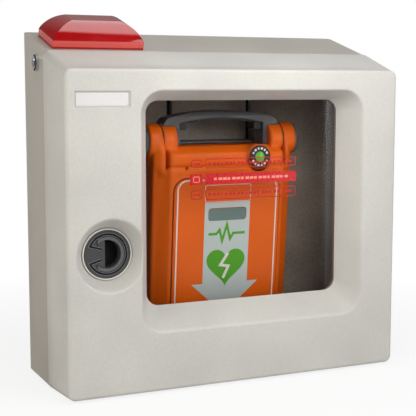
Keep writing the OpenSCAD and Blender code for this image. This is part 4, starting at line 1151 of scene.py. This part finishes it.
@dataclass
class BeaconLens:
    """Hipped lens of the beacon: a skirt, sides that arc inward over a fixed inset, and a flat top."""

    centre: Pair = (-146.0, -48.75)
    tilt: float = 15.9
    base: float = 2.0
    half_w: float = 56.0
    half_l: float = 31.5
    skirt: float = 8.0
    rise: float = 20.5
    inset_w: float = 26.0
    inset_l: float = 16.0
    start: float = 62.0
    wall: float = 2.5
    corner: float = 0.9
    inner_corner: float = 0.3
    rim: float = 0.25
    rim_span: Pair = (0.04, 0.92)
    steps: int = 14
    skirt_steps: int = 3
    corner_steps: int = 4

    def side(self, wall: float) -> tuple[Array, Array]:
        """How far the ends stand in at each height.

        The arc of radius r = |(rise, inset)| / (2 sin(t)), with t = start - atan(rise / inset), leaves
        the skirt at the start angle and ends at the edge of the flat top.

        Args:
            wall: Distance inside the outer face.

        Returns:
            The shares of the full inset and the heights, from the foot upward.
        """
        rise = self.rise - wall
        begin = math.radians(self.start)
        half_turn = begin - math.atan2(rise, self.inset_w)
        radius = math.hypot(rise, self.inset_w) / (2 * math.sin(half_turn))
        angle = np.linspace(begin, begin - 2 * half_turn, self.steps)
        share = radius * (math.sin(begin) - np.sin(angle)) / self.inset_w
        height = self.skirt + radius * (np.cos(angle) - math.cos(begin))
        foot = np.linspace(0, self.skirt, self.skirt_steps, endpoint=False)
        return np.append(np.zeros_like(foot), share), np.append(foot, height)

    def build(self) -> None:
        """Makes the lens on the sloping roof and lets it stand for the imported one."""
        skin = Skin("beacon_lens_soft")
        shells = [self.on_roof(self.shell(0.0, self.corner)),
                  self.on_roof(self.shell(self.wall, self.inner_corner))]
        for shell in shells:
            skin.grid(shell, wrap=True)
        skin.grid(np.stack([shell[0] for shell in shells]), wrap=True)
        piece = skin.build(Finish.beacon_red, "cabinet", crease=12)
        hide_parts("beacon_lens")
        band = Skin("beacon_rim")
        outer, inner = (np.array([self.loop(out, self.corner, self.skirt * share) for share in self.rim_span])
                        for out in (self.rim, -self.wall / 2))
        band.slab(self.on_roof(outer), self.on_roof(inner), wrap=True)
        band.build(Finish.beacon_rim, "cabinet", crease=25)

    def loop(self, out: float, corner: float, up: float, share: float = 0.0) -> Array:
        """One level loop of the lens, in the roof's own axes.

        Args:
            out: Distance outside the outer face.
            corner: Radius of the upright edges.
            up: Height above the foot.
            share: Share of the full inset.

        Returns:
            The points, rows of 3.
        """
        half_w, half_l = self.half_w + out - self.inset_w * share, self.half_l + out - self.inset_l * share
        plan = Rect(-half_w, half_w, -half_l, half_l, corner).outline(self.corner_steps)
        return np.insert(plan, 2, up, axis=1)

    def shell(self, wall: float, corner: float) -> Array:
        """Loops of one side of the lens, from its foot to the middle line of its top."""
        loops = [self.loop(-wall, corner, up, share) for share, up in zip(*self.side(wall))]
        return np.array([*loops, loops[-1] * np.array([1, 0, 1])])

    def on_roof(self, points: Array) -> Array:
        """Turns points from the roof's own axes into the part's frame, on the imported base.

        Args:
            points: Points along the roof, up its slope and away from it, stacked along a last axis of 3.

        Returns:
            The same points in the part's frame.
        """
        low, _ = node_box("beacon_base")
        lean = math.radians(self.tilt)
        along, up = points[..., 1], points[..., 2] + self.base
        foot = low[2] + self.half_l * math.sin(lean)
        x = points[..., 0] + self.centre[0]
        y = self.centre[1] + along * math.cos(lean) - up * math.sin(lean)
        z = foot + along * math.sin(lean) + up * math.cos(lean)
        return np.stack([x, y, z], -1)


def ribbon(path: Array, width: float) -> Array:
    """A band of even width along an open flat path, mitred at its corners.

    Each point moves along the mean normal m of its two stretches by width / (2 m.n).

    Args:
        path: Points of the middle line, rows of two.
        width: Width of the band.

    Returns:
        The band's two edges, 2 by points by 2.
    """
    stretches = np.diff(path, axis=0)
    stretches /= np.linalg.norm(stretches, axis=1, keepdims=True)
    ways = np.vstack([stretches[:1], stretches]), np.vstack([stretches, stretches[-1:]])
    normals = [np.stack([-way[:, 1], way[:, 0]], -1) for way in ways]
    middle = normals[0] + normals[1]
    middle /= np.sum(middle * normals[0], axis=1, keepdims=True)
    return np.stack([path + middle * width / 2, path - middle * width / 2])


def filled(outline: Array, centre: Pair) -> Array:
    """A closed outline filled from a point inside that sees all of it, 2 by points by 2."""
    return np.stack([outline, np.broadcast_to(np.array(centre), outline.shape)])


class Print:
    """Thin printed films on one surface, in layers."""

    film: float = 0.12
    gap: float = 0.2
    merge: float = 0.002
    dash_shares: tuple[float, ...] = (0.55, 0.8, 0.8)

    def __init__(self, name: str, lay: Lay, finish: Finish, body: str, layer: int = 0) -> None:
        """Starts without shapes.

        Args:
            name: Name of the piece.
            lay: Turns flat points and a height above the surface into the part's frame.
            finish: The ink.
            body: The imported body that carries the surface.
            layer: Which layer it is, from 0 on the surface.
        """
        self.skin = Skin(name)
        self.skin.merge = self.merge
        self.lay, self.finish, self.body = lay, finish, body
        self.low, self.high = (layer + self.gap) * self.film, (layer + 1) * self.film

    def add(self, shape: Array, wrap: bool = True) -> None:
        """Adds one shape, a grid of flat points; wrap joins its last column to its first."""
        self.skin.slab(self.lay(shape, self.high), self.lay(shape, self.low), wrap)

    def bar(self, x0: float, x1: float, z0: float, z1: float) -> None:
        """Adds a plain rectangle."""
        self.add(np.array([[[x0, z0], [x1, z0]], [[x0, z1], [x1, z1]]]), wrap=False)

    def frame(self, shape: Rect, width: float) -> None:
        """Adds a line along a rounded rectangle."""
        self.add(np.stack([shape.grown(width / 2).outline(), shape.grown(-width / 2).outline()]))

    def dashes(self, x0: float, x1: float, z0: float, z1: float, count: int) -> None:
        """Adds a row of dashes, one short and two longer ones in turn.

        Args:
            x0, x1: Ends of the row.
            z0, z1: Foot and head of the dashes.
            count: Number of dashes.
        """
        step = (x1 - x0) / count
        for k in range(count):
            start = x0 + k * step
            self.bar(start, start + step * self.dash_shares[k % len(self.dash_shares)], z0, z1)

    def build(self) -> None:
        """Makes the piece."""
        self.skin.build(self.finish, self.body, crease=30)


@dataclass
class LidPrint:
    """Label on the defibrillator's lid: an outline, an arrow that points down, a pulse line and a heart."""

    origin: Point = (12.5, -10.9, -178.0)
    slope: float = 5.0
    mid_d: float = 84.0
    mid_h: float = 134.0
    rise: float = 1.5
    line: float = 1.7
    panel: Rect = Rect(-72, 72, 26, 218.2, 16)
    # Width of the painted shade line round the raised panel.
    edge_shade: float = 1.3
    border: Rect = Rect(-67.6, 67.6, 24, 216, 12)
    sharp: float = 0.01
    strip_half: float = 31.0
    strip_top: float = 187.7
    hole: Rect = Rect(-26.3, 26.3, 164.6, 180.8, 4.2)
    hole_edge: float = 4.0
    head_h: float = 85.0
    head_half: float = 45.75
    head_tip: float = 44.0
    tag: Rect = Rect(-31, 31, 188.6, 209.6, 2)
    tag_line: float = 0.7
    heart_half: float = 26.5
    heart_mid: float = 108.0
    heart_steps: int = 72
    bolt: tuple[Pair, ...] = ((3, 15), (-7, 0), (4, -2), (-3, -17))
    bolt_line: float = 3.6
    pulse: tuple[Pair, ...] = ((-25, 0), (-14, 0), (-10, 5), (-6, -9), (0, 11), (5, -7), (9, 0), (25, 0))
    pulse_h: float = 148.0
    pulse_line: float = 3.2

    def lay(self, flat: Array, lift: float) -> Array:
        """Puts points on the lid's raised panel.

        Args:
            flat: The points, across and up.
            lift: Their height above the panel.

        Returns:
            The points in the part's frame.
        """
        lean = math.radians(self.slope)
        across, up = flat[..., 0], flat[..., 1]
        deep = self.mid_d + (up - self.mid_h) * math.tan(lean) + (self.rise + lift) / math.cos(lean)
        return np.stack([self.origin[0] + across, self.origin[1] - deep, self.origin[2] + up], -1)

    def on_base(self, flat: Array, lift: float) -> Array:
        """Puts points on the lid's own face, round the raised panel."""
        return self.lay(flat, lift - self.rise)

    def heart(self) -> Array:
        """The heart's outline, by x = sin^3 t and z = (13 cos t - 5 cos 2t - 2 cos 3t - cos 4t) / 16.

        Returns:
            The points, rows of two.
        """
        t = np.linspace(0, 2 * math.pi, self.heart_steps, endpoint=False)
        z = (13 * np.cos(t) - 5 * np.cos(2 * t) - 2 * np.cos(3 * t) - np.cos(4 * t)) / 16
        return np.stack([np.sin(t) ** 3, z], -1) * self.heart_half + np.array([0, self.heart_mid])

    def build(self) -> None:
        """Makes the label's layers, one piece for each ink and layer."""
        # A dark orange line on the lid's face round the raised panel: painted shade along the step down from
        # the panel.
        edge_shade = Print("panel_groove", self.on_base, Finish.ink_groove, "lid")
        edge_shade.frame(self.panel.grown(self.edge_shade / 2), self.edge_shade)
        edge_shade.build()
        white = Print("label_outline", self.lay, Finish.ink_white, "lid")
        white.frame(self.border, self.line)
        white.frame(self.tag, self.tag_line)
        white.build()
        base = Print("label_arrow", self.lay, Finish.ink_label, "lid")
        half, shoulder = self.strip_half, self.head_half
        under_hole = self.hole.foot - self.hole_edge
        base.bar(-half, half, self.head_h, under_hole)
        around = Rect(-half, half, under_hole, self.strip_top, self.sharp)
        base.add(np.stack([around.outline(), self.hole.outline()]))
        barbs = [[x, self.head_h] for x in (-shoulder, -half, half, shoulder)]
        base.add(np.array([barbs, [[0, self.head_tip]] * len(barbs)]), wrap=False)
        base.build()
        green = Print("label_heart", self.lay, Finish.ink_green, "lid", layer=1)
        green.add(filled(self.heart(), (0, self.heart_mid)))
        green.add(ribbon(np.array(self.pulse) + [0, self.pulse_h], self.pulse_line), wrap=False)
        green.build()
        bolt = Print("label_bolt", self.lay, Finish.ink_white, "lid", layer=2)
        bolt.add(ribbon(np.array(self.bolt) + [0, self.heart_mid], self.bolt_line), wrap=False)
        bolt.build()


@dataclass
class PanePrint:
    """Red marks on the pane: a band of dashes between two outlined rows."""

    line: float = 1.0
    band: Rect = Rect(-31.9, 92.3, 35.5, 48.3)
    tile: Rect = Rect(-51.5, -35.0, 35.5, 48.3, 1.0)
    upper: Rect = Rect(-31.0, 91.0, 55.2, 66.0, 2.5)
    lower: Rect = Rect(-31.0, 91.0, 17.4, 29.6, 2.5)
    dash_share: float = 0.25
    row_gaps: Pair = (3.4, 3.4)
    row_dashes: int = 21
    icon: Pair = (-50.0, -36.0)
    icon_inset: float = 1.0
    icon_corner: float = 3.5
    icon_gaps: Pair = (3.0, 2.0)
    icon_dashes: int = 3
    marks: Rect = Rect(-20.0, 82.0, 40.4, 43.4)
    mark_dashes: int = 17
    sign: Rect = Rect(-47.0, -39.5, 38.7, 45.1, 1.0)
    sign_line: float = 0.9

    def build(self) -> None:
        """Makes the red layer and the pale dashes on it."""
        lay = facing(node_box("window_pane")[0][1])
        red = Print("pane_print", lay, Finish.ink_red, "door")
        red.add(filled(self.band.outline(1), self.band.middle))
        red.add(filled(self.tile.outline(3), self.tile.middle))
        for row in (self.upper, self.lower):
            icon = Rect(*self.icon, row.foot + self.icon_inset, row.head - self.icon_inset, self.icon_corner)
            half = (row.head - row.foot) * self.dash_share / 2
            foot, head = row.middle[1] - half, row.middle[1] + half
            for shape, (before, behind), count in ((row, self.row_gaps, self.row_dashes),
                                                   (icon, self.icon_gaps, self.icon_dashes)):
                red.frame(shape, self.line)
                red.dashes(shape.left + before, shape.right - behind, foot, head, count)
        red.build()
        pale = Print("pane_marks", lay, Finish.ink_blush, "door", layer=1)
        marks = self.marks
        pale.dashes(marks.left, marks.right, marks.foot, marks.head, self.mark_dashes)
        pale.frame(self.sign, self.sign_line)
        pale.build()


@dataclass
class NamePlate:
    """Bare silver plate in the door's shallow pocket."""

    shape: Rect = Rect(-202.2, -140.8, 130.8, 145.2, 1.2)
    thick: float = 0.9
    chamfer: float = 0.35
    sunk: float = 0.02
    corner_steps: int = 4

    def build(self) -> None:
        """Makes a plate with a chamfered edge on the pocket's floor."""
        floor = node_box("door_shell")[0][1] + DoorShell.plate_depth
        back, face = floor + self.sunk, floor - self.thick
        shapes = [(self.shape, back), (self.shape, face + self.chamfer),
                  (self.shape.grown(-self.chamfer), face)]
        loops = [at_depth(*shape.outline(self.corner_steps).T, y) for shape, y in shapes]
        middle = np.broadcast_to(loops[0].mean(0), loops[0].shape) * [1, 0, 1]
        skin = Skin("name_plate")
        skin.grid(np.array([middle + [0, back, 0], *loops, middle + [0, face, 0]]), wrap=True)
        skin.build(Finish.plate_silver, "door", crease=20)


@dataclass
class WallScrews:
    """Pan-head screws with a cross recess, through the back panel into the wall."""

    columns: Pair = (-160.0, 160.0)
    rows: Pair = (-120.0, 120.0)
    radius: float = 4.6
    height: float = 1.2
    lines: int = 17
    cross_depth: float = 0.55
    arm_half: float = 0.17
    arm_edge: float = 0.06
    arm_end: float = 0.62
    end_edge: float = 0.1

    def build(self) -> None:
        """Makes the four heads as one piece.

        A head is a square grid pressed into a disc. Its height is a cap sqrt(1 - r^4), and a cross is cut
        into it.
        """
        across = np.linspace(-1, 1, self.lines)
        x, z = Rect(-1, 1, -1, 1, 1).pressed(*np.meshgrid(across, across))
        r = np.hypot(x, z)
        cap = np.sqrt(np.maximum(1 - r ** 4, 0))
        arm = np.minimum(np.abs(x), np.abs(z))
        beside = np.clip((self.arm_half - arm) / self.arm_edge, 0, 1)
        height = cap - self.cross_depth * beside * np.clip((self.arm_end - r) / self.end_edge, 0, 1)
        seat_y = node_box("back_panel")[0][1]
        skin = Skin("wall_screw_heads")
        for column in self.columns:
            for row in self.rows:
                plan = column - x * self.radius, row - z * self.radius
                skin.slab(at_depth(*plan, seat_y - height * self.height), at_depth(*plan, seat_y))
        skin.build(Finish.panel_grey, "cabinet", crease=35)


@dataclass
class EarSeamShade:
    """Dark rings in the seams between the fixed hinge ears and the lid's ears, as painted shade along the
    seams.
    """

    middle: float = 12.5
    seam: float = 82.0
    axis: Pair = (-72.4, 85.5)
    radius: float = 21.56
    depth: float = 2.5
    half: float = 0.85
    steps: int = 72

    def build(self) -> None:
        """Makes both rings as one piece that stays with the defibrillator."""
        circle = on_circle(np.linspace(0, 2 * math.pi, self.steps, endpoint=False))
        skin = Skin("ear_seals")
        for side in (-1, 1):
            x = self.middle + side * self.seam
            outer, inner = (np.array([np.insert(circle * r + self.axis, 0, x + out, axis=1)
                                      for out in (-self.half, self.half)])
                            for r in (self.radius, self.radius - self.depth))
            skin.slab(outer, inner, wrap=True)
        # Here the soft dark finish is painted shade in the seams.
        skin.build(Finish.soft_dark, "defibrillator", crease=40)


@dataclass
class LatchTrim:
    """The latch's trim: a pale ring on its lip as a painted highlight, painted shade in its cup, and a dark
    seam of painted shade round its pull ring and both lugs, with a painted highlight along both edges of the
    seam.
    """

    # Inner and outer radius of the pale ring that is a painted highlight on the lip.
    rim_highlight: Pair = (28.2, 29.4)
    rim_highlight_back: float = 0.3
    rim_highlight_depth: float = 1.5
    seam_radius: float = 23.0
    seam_width: float = 2.5
    # Width of the painted highlight on each side of the seam.
    seam_highlight: float = 0.3
    seam_ends: Pair = (154.0, -154.0)
    lugs: tuple[Pair, ...] = ((-6.5, 6.0), (-6.5, -6.0))
    cup_radius: float = 16.2
    cup_turn: float = 92.0
    cup_depth: float = 13.0
    cup_film: Pair = (0.05, 0.15)
    cup_middle: Pair = (4.0, 0.0)
    steps: int = 97

    def build(self) -> None:
        """Makes the seam's painted shade with a painted highlight along its edges, the painted shade in the
        cup and the painted highlight on the lip.
        """
        lay = facing(node_box("latch_housing")[0][1], DoorShell.latch)
        arc = on_circle(np.radians(np.linspace(*self.seam_ends, self.steps)))
        path = np.vstack([self.lugs[0], arc * self.seam_radius, self.lugs[1]])
        # A black band where the pull ring meets the housing: painted shade in the gap between them.
        seam = Print("latch_seam", lay, Finish.ink_black, "door", layer=1)
        seam.add(ribbon(path, self.seam_width), wrap=False)
        seam.build()
        # A light grey band a little wider than the seam, lying under it: painted highlight along the seam's
        # edges.
        edge = Print("latch_edge", lay, Finish.ink_edge, "door")
        edge.add(ribbon(path, self.seam_width + 2 * self.seam_highlight), wrap=False)
        edge.build()
        hollow = on_circle(np.radians(np.linspace(-self.cup_turn, self.cup_turn, self.steps)))
        shade = Print("cup_shade", lay, Finish.ink_black, "door")
        shade.low, shade.high = (film - self.cup_depth for film in self.cup_film)
        shade.add(filled(hollow * self.cup_radius, self.cup_middle))
        shade.build()
        # A pale ring on the housing's lip, round the disc: painted highlight along its edge.
        circle = on_circle(np.linspace(0, 2 * math.pi, self.steps, endpoint=False))
        front, back = (np.array([lay(circle * r, -deep) for r in self.rim_highlight])
                       for deep in (self.rim_highlight_back, self.rim_highlight_back + self.rim_highlight_depth))
        skin = Skin("latch_lip")
        skin.slab(front, back, wrap=True)
        skin.build(Finish.ink_white, "door", crease=40)


@dataclass
class SlotShade:
    """Black film behind the back panel's two upright slots: painted shade in the slots."""

    columns: Pair = (-28.0, 86.0)
    half_w: float = 3.4
    foot: float = -136.0
    under_top: float = 12.5
    sunk: float = 0.4

    def build(self) -> None:
        """Makes both strips as one piece."""
        high = node_box("back_panel")[1]
        # The black strips, seen through the slots, are painted shade.
        black = Print("slot_backing", facing(high[1] - self.sunk), Finish.ink_black, "cabinet")
        for x in self.columns:
            black.bar(x - self.half_w, x + self.half_w, self.foot, high[2] - self.under_top)
        black.build()


@dataclass
class IndicatorPrint:
    """Two arcs of white dashes on the indicator's ring."""

    centre: Pair = (54.5, 65.0)
    radius: float = 10.6
    arcs: Pair = (90.0, 270.0)
    reach: float = 62.0
    count: int = 6
    dash: float = 2.6
    halves: Pair = (8.0, 6.0)
    steps: int = 5

    def build(self) -> None:
        """Makes the dashes; each lies along its part of the arc."""
        lay = facing(node_box("indicator_bezel")[0][1], self.centre)
        white = Print("indicator_marks", lay, Finish.ink_white, "defibrillator")
        for middle in self.arcs:
            for k, angle in enumerate(np.linspace(-self.reach, self.reach, self.count)):
                half = self.halves[k % 2]
                ring = on_circle(np.radians(middle + angle + np.linspace(-half, half, self.steps)))
                edges = [ring * (self.radius + side * self.dash / 2) for side in (1, -1)]
                white.add(np.stack(edges), wrap=False)
        white.build()


# Nodes whose edges are rounded, with the width of the rounding.
SOFT_EDGES: dict[str, float] = {
    "cabinet_shell": 1.0, "aed_lid": 0.9, "aed_front_case": 0.9, "aed_rear_case": 0.8, "aed_handle": 0.8,
    "ear_caps": 0.6, "indicator_bezel": 0.4, "handle_grip": 0.6,
}


def main() -> None:
    """Builds the scene in order."""
    logging.basicConfig(level=logging.INFO, format="%(name)s: %(message)s")
    Studio().build()
    Dresser().dress()
    for assembly in (DoorShell, BeaconLens, LidPrint, PanePrint, NamePlate, EarSeamShade, LatchTrim, SlotShade,
                     IndicatorPrint, WallScrews):
        assembly().build()
    for node, width in SOFT_EDGES.items():
        soften(node, width)


if __name__ == "__main__":
    main()
